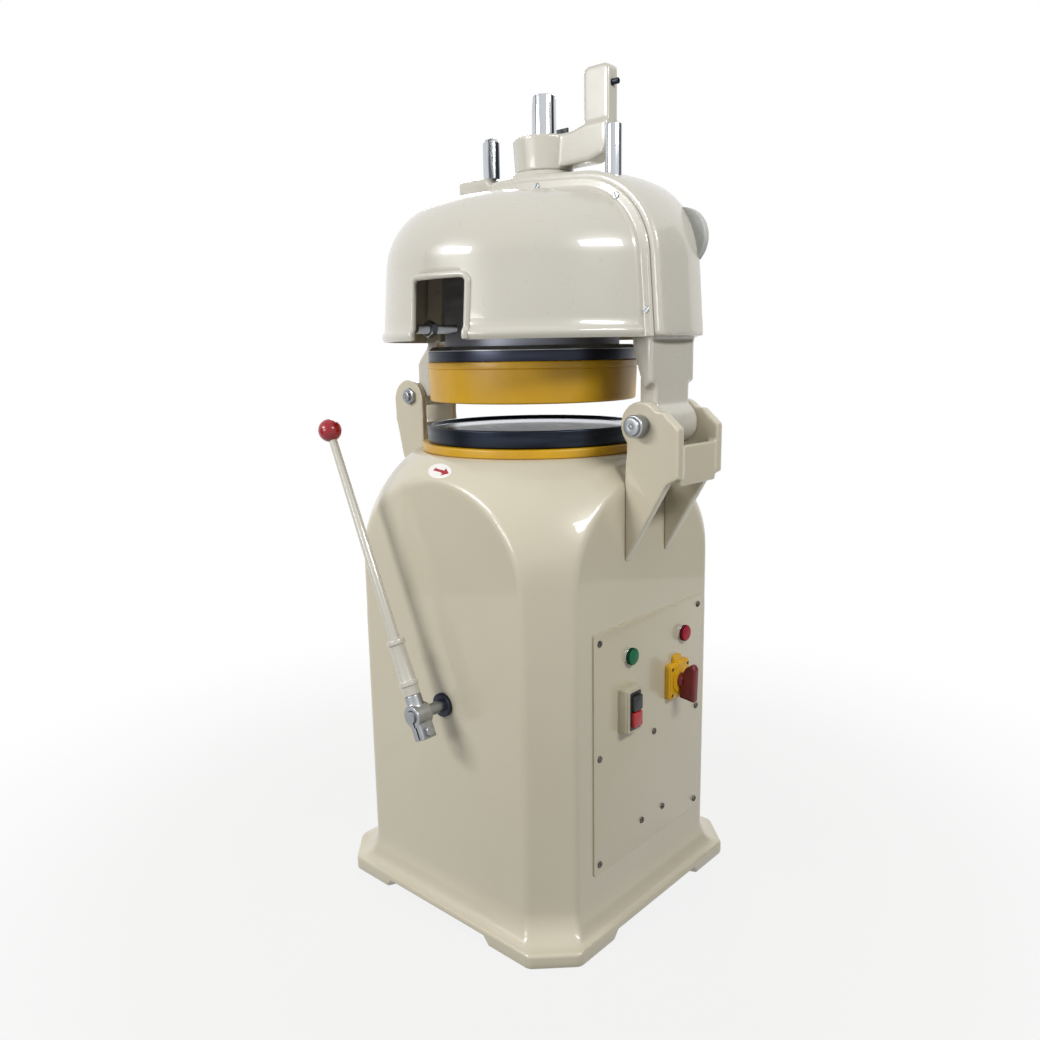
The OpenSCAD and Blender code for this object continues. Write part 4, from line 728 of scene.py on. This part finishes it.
def seamPoint(step, x, proud):
    c = coverForm
    kind, value = step
    if kind == "y":  # over the crown the seam follows y
        r0 = np.hypot(x, value - c.axisY)
        s = np.interp(-r0, -coverP[:, 0], coverS)
        r, z = coverAt(s, proud, False)
        return (x, c.axisY + math.copysign(math.sqrt(max(r * r - x * x, 0)), value - c.axisY), float(z))
    r, z = coverAt(value, proud, False)
    return (x, c.axisY + math.sqrt(max(float(r) ** 2 - x * x, 0)), max(float(z), c.low))


def seamBand():
    c = coverForm
    t, h, out, sunk = c.bandThick, c.bandRise, c.bandThick + c.bandOut, -c.bandSunk
    ring = rounded([(0, sunk, 0), (0, h, 1.6), (t, h, 2.2), (t, 0, c.bandFoot), (out, 0, 0),
                    (out, sunk, 0)], 6)
    crownEnd = c.axisY + math.sqrt(c.seamTurn ** 2 - c.seamX ** 2)
    steps = [("y", y) for y in np.linspace(c.front + 0.8, crownEnd, 60)]
    s0 = float(np.interp(-c.seamTurn, -coverP[:, 0], coverS))
    steps += [("s", s) for s in np.linspace(s0, 0, 110)[1:]]
    v = [seamPoint(step, c.slot + u, w) for step in steps for u, w in ring]
    return np.array(v), skinFaces(len(steps), len(ring))


def windowOutline(c, grow=0.0):
    y0, y1, top, r = c.y0 - grow, c.y1 + grow, c.top + grow, c.corner + grow
    return rounded([(y0, c.foot, 0), (y0, top, r), (y1, top, r), (y1, c.foot, 0)], 8)


def cutWindow(cover, window):
    v, f = moved(slab(windowOutline(window), window.cutFrom, window.cutTo, 0.5), sideTurn)
    mesh = newMesh("windowCut", v, faces=f)
    tidyMesh(mesh, 0)
    cutter = addObject("windowCut", mesh)
    cut = cover.modifiers.new("window", "BOOLEAN")
    cut.operation, cut.solver, cut.object = "DIFFERENCE", "EXACT", cutter
    makePlain(cover)
    bpy.data.objects.remove(cutter)


def makeWindowRim(c, window):
    path = [(y, max(z, c.low + 3)) for y, z in windowOutline(window, 1.0)]
    rim = []
    for (ya, za), (yb, zb) in zip(path, path[1:]):
        count = max(1, int(math.hypot(yb - ya, zb - za) / 4))
        rim += [(ya + (yb - ya) * k / count, za + (zb - za) * k / count) for k in range(count)]
    points = []
    for y, z in rim + path[-1:]:
        r = float(coverAt(np.interp(z, coverP[:120, 1], coverS[:120]), 0.4)[0])
        points.append((math.sqrt(r ** 2 - (y - c.axisY) ** 2), y, z))
    path = newMesh("windowRim", points, [(i, i + 1) for i in range(len(points) - 1)])
    rimSizes = {"Radius": window.rim * mm, "Resolution": 16}
    runTree("windowRim", path, rimTree("ivoryPaintCoolLight"), rimSizes, "head", sharp=60)


def makeCovers():
    shell, band = coverShell(), seamBand()
    # covers, seam bands and window rim take the cool-lit ivory copy: painted light
    right = piece("rightCover", [shell], "ivoryPaintCoolLight", "head", ("right_cover",), sharp=40)
    piece("leftCover", [flipX(shell)], "ivoryPaintCoolLight", "head", ("left_cover",), sharp=40)
    piece("rightSeamBand", [band], "ivoryPaintCoolLight", "head", sharp=50)
    piece("leftSeamBand", [flipX(band)], "ivoryPaintCoolLight", "head", sharp=50)
    cutWindow(right, coverWindow)
    makeWindowRim(coverForm, coverWindow)


makeCovers()
print("covers made")

# slotted screws on the seam bands and on the rear panel
panel = Sizes(x0=-185, x1=161, z0=122, z1=568, face=271)
screwShares = ((0.455, 0.46), (-0.455, 0.46), (0.455, -0.01), (-0.455, -0.01), (0.455, -0.46),
               (-0.455, -0.46), (-0.03, -0.02), (0.08, -0.39), (-0.12, -0.39))
coverScrews = Sizes(low=0.35, lean=52, crown=58)
screwProud = 0.4
screwRules = {paint: screwTree(paint) for paint in ("screwSteel", "turnedSteel")}


def addScrews(name, points, facings, paint, body, node):
    values = {k: (v if k == "Seed" else v * mm) for k, v in screwSizes.items()}
    runTree(name, pointMesh(name, points, facings), screwRules[paint], values, body, (node,))


midX, midZ = (panel.x0 + panel.x1) / 2, (panel.z0 + panel.z1) / 2
panelSpots = [(midX + a * (panel.x1 - panel.x0), panel.face + screwProud, midZ + b * (panel.z1 - panel.z0))
              for a, b in screwShares]
addScrews("panelScrews", panelSpots, [(0, 1, 0)] * len(panelSpots), "screwSteel", "pedestal", "panel_screws")


def coverScrewSpots(c, place):
    low = float(np.interp(c.low + c.shoulderRise * place.low, coverP[:100, 1], coverS[:100]))
    reach = coverShoulder(c)[0] + c.shoulder * math.cos(math.radians(place.lean))
    high = float(np.interp(-reach, -coverP[:, 0], coverS))
    steps = (("s", low), ("s", high), ("y", c.axisY + place.crown))
    return [seamPoint(step, c.slot + c.bandThick, c.bandRise / 2) for step in steps]


spots = coverScrewSpots(coverForm, coverScrews)
both = [(side * (x + screwProud), y, z) for side in (1, -1) for x, y, z in spots]
outward = [(side, 0, 0) for side in (1, -1) for _ in spots]
addScrews("coverScrews", both, outward, "turnedSteel", "head", "cover_screws")
print("screws set")

# turned pieces on the table's axis
ringSizes = Sizes(ringR=214, ringLow=857.3, ringTop=873, hubR=168.05, panR=205, panTop=905, panWall=6,
                  dish=8, cutterR=200, cutterLow=950, cutterTop=1023, cutterWall=11)


def makeTable(c):
    ring = rounded([(c.hubR, c.ringLow, 0.5), (c.ringR, c.ringLow, 2.5), (c.ringR, c.ringTop, 3),
                    (c.hubR, c.ringTop, 0.5)])
    piece("tableRing", [lathe(ring, 160)], "mustardPaint", "table", ("table_ring",))
    inner = c.panR - c.panWall
    floor = c.panTop - c.dish
    pan = rounded([(0, c.ringTop, 0), (c.panR - 1.5, c.ringTop, 4), (c.panR, c.panTop, 2.9),
                   (inner, c.panTop, 2.9), (inner - 3, floor, 5), (0, floor, 0)], 7)
    piece("doughPan", [lathe(pan, 180)], "polishedPan", "table", ("dough_pan",))
    bore = c.cutterR - c.cutterWall
    lip = c.cutterTop - 13
    cutter = rounded([(bore, c.cutterLow, 2), (c.cutterR - 3.5, c.cutterLow, 4),
                      (c.cutterR - 1.2, lip - 1.5, 1), (c.cutterR - 2.2, lip, 0.6), (c.cutterR, lip + 1.2, 1),
                      (c.cutterR, c.cutterTop, 3), (bore, c.cutterTop, 1)])
    piece("cutterRing", [lathe(cutter, 180)], "mustardPaint", "press", ("cutter_ring",))


makeTable(ringSizes)

pressHead = Sizes(low=1023, flangeR=198, flangeTop=1050, bevel=8, drumR=165, drumTop=1184, wall=8,
                  plate=1033, neckR=45, neckTop=1200, ramR=22, hubY=36, ramTop=1488.2)


def makePress(c):
    edge, inner = c.flangeTop - c.bevel, c.drumR - c.wall
    step, low = c.drumR + 9, c.flangeTop - 6
    flange = rounded([(0, c.low, 0), (c.flangeR, c.low, 1.5), (c.flangeR, edge - 0.4, 1),
                      (step, edge - 0.4, 0), (step, c.flangeTop, 0), (inner, c.flangeTop, 0),
                      (inner, c.plate, 3), (0, c.plate, 0)])
    shell = rounded([(inner + 1, low, 0), (c.drumR + 0.6, low, 0), (c.drumR, c.drumTop, 2),
                     (inner + 1, c.drumTop, 2)])
    neck = rounded([(c.ramR, c.low + 4, 0), (c.neckR, c.low + 4, 0), (c.neckR, c.neckTop, 3),
                    (c.ramR, c.neckTop, 1)])
    upright = aim((0, 0, 1), (0, c.hubY, 0))
    # the drum takes the lightened copy of the dark steel: painted light
    piece("pressDrum", [lathe(shell, 160), moved(lathe(neck), upright)], "darkSteelPaintedLight", "press")
    piece("pressFlange", [lathe(flange, 160)], "blackSteel", "press", ("press_flange",))
    rimIn, seat = c.flangeR - 4, c.drumR + 6  # the bevel stays bright from the lathe
    bright = rounded([(seat, edge - 3, 0), (rimIn, edge - 3, 0), (rimIn, edge, 0), (c.flangeR, edge, 0.5),
                      (c.flangeR, edge + 1.2, 0.8), (c.flangeR - c.bevel, c.flangeTop, 1.5),
                      (seat, c.flangeTop, 0.4)])
    piece("flangeEdge", [lathe(bright, 160)], "turnedSteel", "press")
    rod = rounded([(0, c.low, 0), (c.ramR, c.low, 0), (c.ramR, c.ramTop, 2.5), (8, c.ramTop, 1),
                   (6, c.ramTop - 5, 0), (0, c.ramTop - 7, 0)])
    piece("pressSpindle", [moved(lathe(rod, 72), upright)], "chrome", "press", ("press_ram",))


makePress(pressHead)

studSizes = Sizes(y=-45, z=1081, x0=154, x1=253, r=8, nutAt=213.4, nutH=13, flats=26, pitch=2)


def threaded(r, z0, z1, pitch, deep=0.7):
    out = [(0, z0), (r - deep, z0)]
    for k in range(int((z1 - z0) / pitch)):
        for share, cut in ((0.1, deep), (0.45, 0), (0.6, 0), (0.95, deep)):
            out.append((r - cut, z0 + k * pitch + share * pitch))
    return out + [(r - deep, z1 - 0.2), (r - deep - 0.8, z1), (0, z1)]


def makeStud(c):
    way = aim((1, 0, 0), (c.x0, c.y, c.z))
    bar = lathe(threaded(c.r, 0, c.x1 - c.x0, c.pitch), 40)
    nut = moved(hexPart(c.flats, c.nutH, c.r - 0.8), aim((1, 0, 0), (c.nutAt, c.y, c.z)))
    piece("drumStud", [moved(bar, way), nut], "turnedSteel", "press", ("drum_stud",), sharp=25)


makeStud(studSizes)
print("press and table turned")

# posts on the head
postSizes = Sizes(y=-97, wide=32, thick=14, low=1364, top=1437, guideX=42, guideY=222, guideR=14,
                  guideLow=1300, guideTop=1403.6, bevel=7)


def makePosts(c):
    a, b, z = c.wide / 2, c.wide / 2 - c.bevel, c.top - c.bevel
    shape = rounded([(c.y - a, c.low, 0), (c.y + a, c.low, 0), (c.y + a, z, 1.5), (c.y + b, c.top, 1.5),
                     (c.y - b, c.top, 1.5), (c.y - a, z, 1.5)], 3)
    flat = slab(shape, -c.thick / 2, c.thick / 2, 1.2)
    piece("frontPost", [moved(flat, sideTurn)], "chrome", "head", ("front_post",), sharp=30)
    rod = rounded([(0, c.guideLow, 0), (c.guideR, c.guideLow, 0), (c.guideR, c.guideTop, 2),
                   (0, c.guideTop, 0)])
    piece("guidePost", [moved(lathe(rod, 64), aim((0, 0, 1), (c.guideX, c.guideY, 0)))], "chrome", "head",
          ("guide_post",))


makePosts(postSizes)

# round buffer let into the back of the spine
bufferSizes = Sizes(x0=-66, x1=-52, y=290, z=1224, r=51, edge=2.5, spineY=177.4, spineZ=1180, spineR=140)


def makeBuffer(c):
    gap = math.hypot(c.y - c.spineY, c.z - c.spineZ)
    face = math.atan2(c.z - c.spineZ, c.y - c.spineY)
    near = (gap * gap + c.r ** 2 - c.spineR ** 2) / (2 * gap * c.r)
    half = math.acos(max(-1, min(1, -near)))
    rim = [(c.y + c.r * math.cos(t), c.z + c.r * math.sin(t))
           for t in np.linspace(face - half, face + half, 60)]
    ends = [math.atan2(z - c.spineZ, y - c.spineY) for y, z in (rim[-1], rim[0])]
    back = [(c.spineY + c.spineR * math.cos(t), c.spineZ + c.spineR * math.sin(t))
            for t in np.linspace(ends[0], ends[1], 30)[1:-1]]
    puck = slab(rim + back, c.x0, c.x1, c.edge, 4)
    piece("tiltBuffer", [moved(puck, sideTurn)], "bufferRubber", "head", ("tilt_buffer",), sharp=40)


makeBuffer(bufferSizes)

# cross pins, the hinge's collars and the front nuts
pinSizes = Sizes(hingeY=298, hingeZ=915, hingeR=15, hingeEnd=98, cheek=70, collarR=19, collarH=22,
                 restY=-301, restZ=951, restR=10, restEnd=65, ear=50, nutFlats=30, nutH=9)


def makePins(c):
    nuts = []
    ring = lathe(rounded([(c.hingeR, 0, 0), (c.collarR, 0, 0.6), (c.collarR, c.collarH, 2.4),
                          (c.hingeR, c.collarH, 0.8)], 4), 56)
    nut = hexPart(c.nutFlats, c.nutH, c.restR)
    for side in (1, -1):
        nuts.append(moved(ring, aim((side, 0, 0), (side * c.cheek, c.hingeY, c.hingeZ))))
        nuts.append(moved(nut, aim((side, 0, 0), (side * c.ear, c.restY, c.restZ))))
    piece("pinNuts", nuts, "turnedSteel", "pedestal", ("pin_nuts",), sharp=25)
    for name, node, y, z, r, end in (("hingeAxle", "hinge_pin", c.hingeY, c.hingeZ, c.hingeR, c.hingeEnd),
                                     ("restAxle", "front_pin", c.restY, c.restZ, c.restR, c.restEnd)):
        face = [(0, 0, 0), (3, 0, 0.3), (3.6, 1.6, 0), (3.9, 0, 0.3), (r, 0, 2)]  # with the centre mark
        bar = rounded([(a, deep - end, soft) for a, deep, soft in face]
                      + [(a, end - deep, soft) for a, deep, soft in face[::-1]], 3)
        piece(name, [moved(lathe(bar, 56), aim((1, 0, 0), (0, y, z)))], "turnedSteel", "pedestal", (node,))


makePins(pinSizes)

# rounding lever
leverSizes = Sizes(x=329, y=10, z=412, lean=23.6, length=537, rod=8.5, rodRoot=9.5, tube=15, tubeLow=36,
                   tubeTop=138, band=17.5, ball=21, neck=6.9, boltFlats=16, boltDrop=32, boltR=5, lug=13,
                   bushBore=11.2, bushR=17, bushIn=130, bushRim=22, bushOut=8)


def makeLever(c):
    lean = math.radians(c.lean)
    way = Vector((0, -math.sin(lean), math.cos(lean)))
    root = Vector((c.x, c.y, c.z))
    line = aim(way, root)
    t0, t1 = c.tubeLow, c.tubeTop
    b0, b1 = t0 + (t1 - t0) * 0.25, t1
    tube = rounded([(c.rod, t0, 0), (c.tube, t0, 1), (c.tube, b0 - 9, 1.5), (c.band, b0 - 8, 1.5),
                    (c.band, b0, 1.5), (c.tube, b0 + 1, 1.5), (c.tube - 1.5, b1 - 10, 1.5),
                    (c.band - 1, b1 - 9, 1.5), (c.band - 1, b1, 2.5), (c.rodRoot, b1, 1)], 4)
    # the lever's tube and rod take the cool-lit ivory copy: painted light
    piece("leverTube", [moved(lathe(tube, 64), line)], "ivoryPaintCoolLight", "lever", ("lever_socket",))
    top = c.length - c.ball * 0.6
    low = t0 + 30
    rod = rounded([(0, low, 0), (c.rodRoot, low, 0), (c.rodRoot, t1 + 6, 0), (c.rod - 1, top, 0.5),
                   (0, top, 0)])
    piece("leverRod", [moved(lathe(rod, 48), line)], "ivoryPaintCoolLight", "lever", ("lever_rod",))
    ball = []
    for t in np.linspace(-math.pi / 2 + 0.36, math.pi / 2, 40):
        ball.append((c.ball * math.cos(t), c.length + c.ball * math.sin(t)))
    under = ball[0][1]
    ball = [(0, under + 3), (c.neck, under + 3), (c.neck, under)] + ball
    piece("ballKnob", [moved(lathe(ball, 64), line)], "crimsonPlastic", "lever", ("ball_knob",))
    across = Vector((0, math.cos(lean), math.sin(lean)))
    seat = root - way * c.boltDrop
    head = moved(hexPart(c.boltFlats, 8), aim(across, seat + across * c.lug))
    nut = moved(hexPart(c.boltFlats, 6), aim(-across, seat - across * c.lug))
    shank = lathe([(0, -c.lug), (c.boltR, -c.lug), (c.boltR, c.lug), (0, c.lug)], 24)
    bolt = [head, nut, moved(shank, aim(across, seat))]
    piece("clampBolt", bolt, "turnedSteel", "lever", ("clamp_bolt",), sharp=25)
    bush = rounded([(c.bushBore, -c.bushIn, 0.5), (c.bushR, -c.bushIn, 0.5), (c.bushR, 0, 0),
                    (c.bushRim, 0, 0.5), (c.bushRim, c.bushOut, 2), (c.bushBore, c.bushOut, 0.8)], 4)
    inWall = aim((1, 0, 0), (pedestalForm.half, c.y, c.z))
    piece("leverBush", [moved(lathe(bush, 56), inWall)], "blackSteel", "pedestal", ("lever_bush",))


makeLever(leverSizes)
print("lever made")

# rear panel with its lamps, switch and isolator
rearTurn = np.array(((-1, 0, 0, 0), (0, 0, 1, 0), (0, 1, 0, 0), (0, 0, 0, 1.0)))  # drawn in XY, placed on +Y


def onPanel(part, x, z, out=0.0):
    v, f = moved(part, rearTurn)
    return v + np.array([x, panel.face + out, z]), f


def makePanel():
    sheet = slab(box2(panel.x1 - panel.x0, panel.z1 - panel.z0, 5), -3, 0, 0.8)
    piece("rearPanel", [onPanel(sheet, midX, midZ)], "panelPaint", "pedestal", ("service_panel",), sharp=40)


lampSizes = Sizes(green=(57.2, 505.56), red=(-115.8, 505.56), rim=15.4, lens=14.4, tall=8.8, soft=2, dome=0.9,
                  stem=11, bore=10.3, sunk=8, ribs=36, ribWide=2.2)


def makeLamps(c):
    rim = rounded([(c.bore, 1, 0), (c.bore, -c.sunk, 0), (c.stem, -c.sunk, 0), (c.stem, 0, 0),
                   (c.rim, 0, 0.5), (c.rim, 2.2, 0.8), (c.lens - 1, 2.6, 0.3), (c.lens - 1, 1, 0)], 4)
    flat = c.lens - c.soft
    cap = [(0, 1.6), (c.lens, 1.6)]
    cap += [(flat + c.soft * math.cos(t), c.tall + c.soft * math.sin(t))
            for t in np.linspace(0, math.pi / 2, 8)]
    cap += [(flat * k, c.tall + c.soft + c.dome * (1 - k * k)) for k in np.linspace(1, 0, 10)[1:]]
    rims = [onPanel(lathe(rim, 64), *place) for place in (c.green, c.red)]
    piece("lampRims", rims, "chrome", "pedestal", ("lamp_bezels",))
    ribs = {"Count": c.ribs, "Reach": (c.lens - 0.1) * mm, "Width": c.ribWide * mm, "Tall": (c.tall - 2) * mm}
    for key, (x, z) in (("green", c.green), ("red", c.red)):
        piece(key + "Lens", [onPanel(lathe(cap, 64), x, z)], key + "Lens", "pedestal", (key + "_lens",))
        spot = pointMesh(key + "LensRibs", [(x, panel.face + c.tall / 2 + 1, z)], [(0, 1, 0)])
        # the rim ribs take the darker lens copy: painted shade
        runTree(key + "LensRibs", spot, ribTree(key + "LensRimShade"), ribs, "pedestal")


switchSizes = Sizes(x=67.58, z=411.9, wide=48, tall=84, deep=20, buttonW=25, buttonH=28, well=10, play=1.2,
                    frameW=4.8, frameH=10.4, capIn=4, capOut=7.8, dish=9,
                    steps=((0, -20, 5), (0, -5, 5), (1.3, -3.6, 5), (4, -3, 4), (4, -1.4, 4), (4.8, -0.4, 4),
                           (6.8, 0, 4)))


def makeSwitch(c):
    top, p = c.deep, c.play
    holeW, holeH = c.buttonW + p, 2 * (c.buttonH + p) + p
    box = [(box2(c.wide - cut, c.tall - cut, corner), top + rise) for cut, rise, corner in c.steps]
    box += [(box2(holeW + p, holeH + p, 3), z) for z in (top, top - c.well)]  # the caps dive into this well
    piece("switchBox", [onPanel(stack(box), c.x, c.z)], "beigePlastic", "pedestal", ("switch_box",), sharp=40)
    rim = [(box2(holeW + c.frameW - cut, holeH + c.frameH - cut, 3), top + rise)
           for cut, rise in ((0, -0.5), (0, 1), (1.2, 1.6))]
    rim += [(box2(holeW, holeH, 3), top + rise) for rise in (1.6, -0.5)]
    bar = slab(box2(holeW + 2, p, 0.4), top - c.capIn, top + 1.2, 0.2)
    frameParts = [onPanel(part, c.x, c.z) for part in (stack(rim, True), bar)]
    piece("switchFrame", frameParts, "blackPlastic", "pedestal", sharp=40)
    cap = slab(box2(c.buttonW, c.buttonH, 3), top - c.capIn, top + c.capOut, 1.6)
    dish = slab(box2(c.buttonW - c.dish, c.buttonH - c.dish, 3), top + 7, top + 8, 0.45)
    for name, node, side, paint in (("startCap", "start_button", 1, "blackPlastic"),
                                    ("stopCap", "stop_button", -1, "signalRed")):
        z = c.z + side * (c.buttonH / 2 + p)
        piece(name, [onPanel(cap, c.x, z), onPanel(dish, c.x, z)], paint, node, (node,), sharp=40)


isolatorSizes = Sizes(x=-91.58, z=420.82, wide=70, thick=12, tab=26, tabThick=6, rivetAt=26,
                      rivetR=3.2, rivetH=1.2, dialR=25, dialH=1.6, bossR=14, bossH=10, gripW=16,
                      grip=((1, -34, 3), (33.5, -38, 3), (35, 28, 8), (28, 37, 8), (13, 27, 18), (1, 2, 20)))


def disc(r, low, high, softLow, softHigh, cols, inset=0, steps=4):
    outline = [(0, low, 0), (r, low, softLow), (r - inset, high, softHigh), (0, high, 0)]
    return lathe(rounded(outline, steps), cols)


def makeIsolator(c):
    plate = slab(box2(c.wide, c.wide, 8), 0, c.thick - 2, 1.6)
    rise = slab(box2(c.wide - 6, c.wide - 6, 7), c.thick - 4, c.thick, 1.4)
    tab = slab(box2(c.tab, c.tab, 5), 0, c.tabThick, 1.2)
    parts = [onPanel(plate, c.x, c.z), onPanel(rise, c.x, c.z), onPanel(tab, c.x, c.z + c.wide / 2)]
    piece("isolatorPlate", parts, "yellowPlastic", "pedestal", ("isolator_plate",), sharp=40)
    rivet = disc(c.rivetR, 0, c.rivetH, 0.3, 0.5, 24, steps=3)
    rivets = [onPanel(rivet, c.x + a * c.rivetAt, c.z + b * c.rivetAt, c.thick - 0.6)
              for a in (-1, 1) for b in (-1, 1)]
    piece("isolatorRivets", rivets, "blackPlastic", "pedestal")
    base = c.thick + 0.3
    dial = disc(c.dialR, 0, c.dialH, 0.4, 0.7, 72)
    piece("isolatorDial", [onPanel(dial, c.x, c.z, base)], "yellowPlastic", "isolator_knob")
    boss = disc(c.bossR, 1, c.bossH, 0.5, 2, 56, inset=2)
    v, f = moved(slab(rounded(c.grip, 10), -c.gripW / 2, c.gripW / 2, 4.2, 6), sideTurn)
    grip = v + np.array([c.x, panel.face + base + 1, c.z]), f
    piece("isolatorHandle", [onPanel(boss, c.x, c.z, base), grip], "handlePlastic", "isolator_knob",
          ("isolator_knob",), sharp=45)


makePanel()
makeLamps(lampSizes)
makeSwitch(switchSizes)
makeIsolator(isolatorSizes)
print("panel fitted")

# cap screw on the hub and grub screw in the handle
armScrews = Sizes(capY=-5, top=1414.2, capR=9, capH=7, stemR=4, stemIn=6, socketDeep=3.5,
                  grubY=163.5, grubZ=1482.1, grubR=5, grubEnd=201, grubDeep=3)


def makeArmScrews(c):
    capFloor, grubH = c.capH - c.socketDeep, c.grubEnd - c.grubY
    cap = rounded([(0, -c.stemIn, 0), (c.stemR, -c.stemIn, 0), (c.stemR, 0, 0), (c.capR, 0, 0.5),
                   (c.capR, c.capH, 1.6), (4.5, c.capH, 0.5), (4.2, capFloor, 0.3), (0, capFloor, 0)], 4)
    grub = rounded([(0, 0, 0), (c.grubR, 0, 0), (c.grubR, grubH, 1.2), (2.2, grubH, 0.4),
                    (2, grubH - c.grubDeep, 0.2), (0, grubH - c.grubDeep, 0)], 4)
    screws = [moved(lathe(cap, 48), aim((0, 0, 1), (0, c.capY, c.top))),
              moved(lathe(grub, 32), aim((0, 1, 0), (0, c.grubY, c.grubZ)))]
    piece("armScrews", screws, "blackSteel", "swing_arm", ("arm_screws",))


makeArmScrews(armScrews)
print("arm fitted")

# floor, world and lights, in metres
studio = Sizes(floor=(132, 130, 122), reach=12, aimAt=(0, 0, 1), ambient=0.33, glow=0.86, fade=(0.55, 1.7),
               cards=((-1.75, 1.9, 1.5, 2.6), (1.9, -1.5, 0.7, 2.6)), cardTone=(58, 60, 64),
               lamps=(("keyLamp", (2.5, -1, 2.2), (1.4, 0.4), 44),
                      ("fillLamp", (0.15, 2.2, 2.25), (1.3, 0.35), 36),
                      ("lowLamp", (3, -0.3, 1.3), (1, 0.6), 16),
                      ("backLamp", (-2.2, -2.2, 2.6), (1.4, 0.5), 60)))
white = (1, 1, 1, 1)


def backgroundRays(add):
    path = add("ShaderNodeLightPath").outputs
    first = add("ShaderNodeMath", {0: path["Is Camera Ray"], 1: path["Is Glossy Ray"]}, operation="MAXIMUM")
    return add("ShaderNodeMath", {0: first, 1: path["Is Transmission Ray"]}, operation="MAXIMUM")


def emptyTree(owner):
    owner.use_nodes = True
    owner.node_tree.nodes.clear()
    return partial(addNode, owner.node_tree)


def makeWorld(c):
    scene.world = bpy.data.worlds.new("studio")
    add = emptyTree(scene.world)
    soft, plain = (add("ShaderNodeBackground", {"Color": white, "Strength": power})
                   for power in (c.ambient, 1))
    mix = add("ShaderNodeMixShader", {"Fac": backgroundRays(add), 1: soft, 2: plain})
    add("ShaderNodeOutputWorld", {"Surface": mix})


def stagePlate(name, corners, mat):
    mesh = bpy.data.meshes.new(name)
    mesh.from_pydata(corners, [], [(0, 1, 2, 3)])
    mesh.materials.append(mat)
    obj = addObject(name, mesh)
    return obj


def makeFloor(c):
    mat = bpy.data.materials.new("floorPaper")
    add = emptyTree(mat)
    flat = add("ShaderNodeBsdfDiffuse", {"Color": linear(c.floor)})
    glow = add("ShaderNodeEmission", {"Color": white, "Strength": 1})
    spot = add("ShaderNodeTexCoord").outputs["Object"]
    away = add("ShaderNodeVectorMath", {0: spot}, operation="LENGTH").outputs["Value"]
    near, far = c.fade
    fade = add("ShaderNodeMapRange", {"Value": away, "From Min": near, "From Max": far, "To Min": c.glow,
                                      "To Max": 1}, interpolation_type="SMOOTHSTEP")
    mix = add("ShaderNodeMixShader", {"Fac": scaled(add, backgroundRays(add), fade), 1: flat, 2: glow})
    add("ShaderNodeOutputMaterial", {"Surface": mix})
    r = c.reach
    stagePlate("studioFloor", [(-r, -r, 0), (r, -r, 0), (r, r, 0), (-r, r, 0)], mat)


def makeCards(c):
    mat = bpy.data.materials.new("cardTone")
    add = emptyTree(mat)
    add("ShaderNodeOutputMaterial", {"Surface": add("ShaderNodeEmission", {"Color": linear(c.cardTone)})})
    for k, (x, y, wide, tall) in enumerate(c.cards):  # seen in reflections only
        side, mid, up = Vector((-y, x, 0)).normalized() * wide / 2, Vector((x, y, 0)), Vector((0, 0, tall))
        card = stagePlate(f"darkCard{k}", [mid - side, mid + side, mid + side + up, mid - side + up], mat)
        card.visible_camera = card.visible_diffuse = card.visible_shadow = card.visible_transmission = False


def makeLights(c):
    for name, at, size, power in c.lamps:
        data = bpy.data.lights.new(name, "AREA")
        data.shape, data.energy = "RECTANGLE", power
        data.size, data.size_y = size
        turn = (Vector(c.aimAt) - Vector(at)).to_track_quat("-Z", "Y").to_matrix().to_4x4()
        turn.translation = Vector(at)
        addObject(name, data).matrix_world = turn


for make in (makeWorld, makeFloor, makeCards, makeLights):
    make(studio)
scene.view_settings.view_transform = "Standard"
bpy.context.view_layer.update()
print("studio lit")
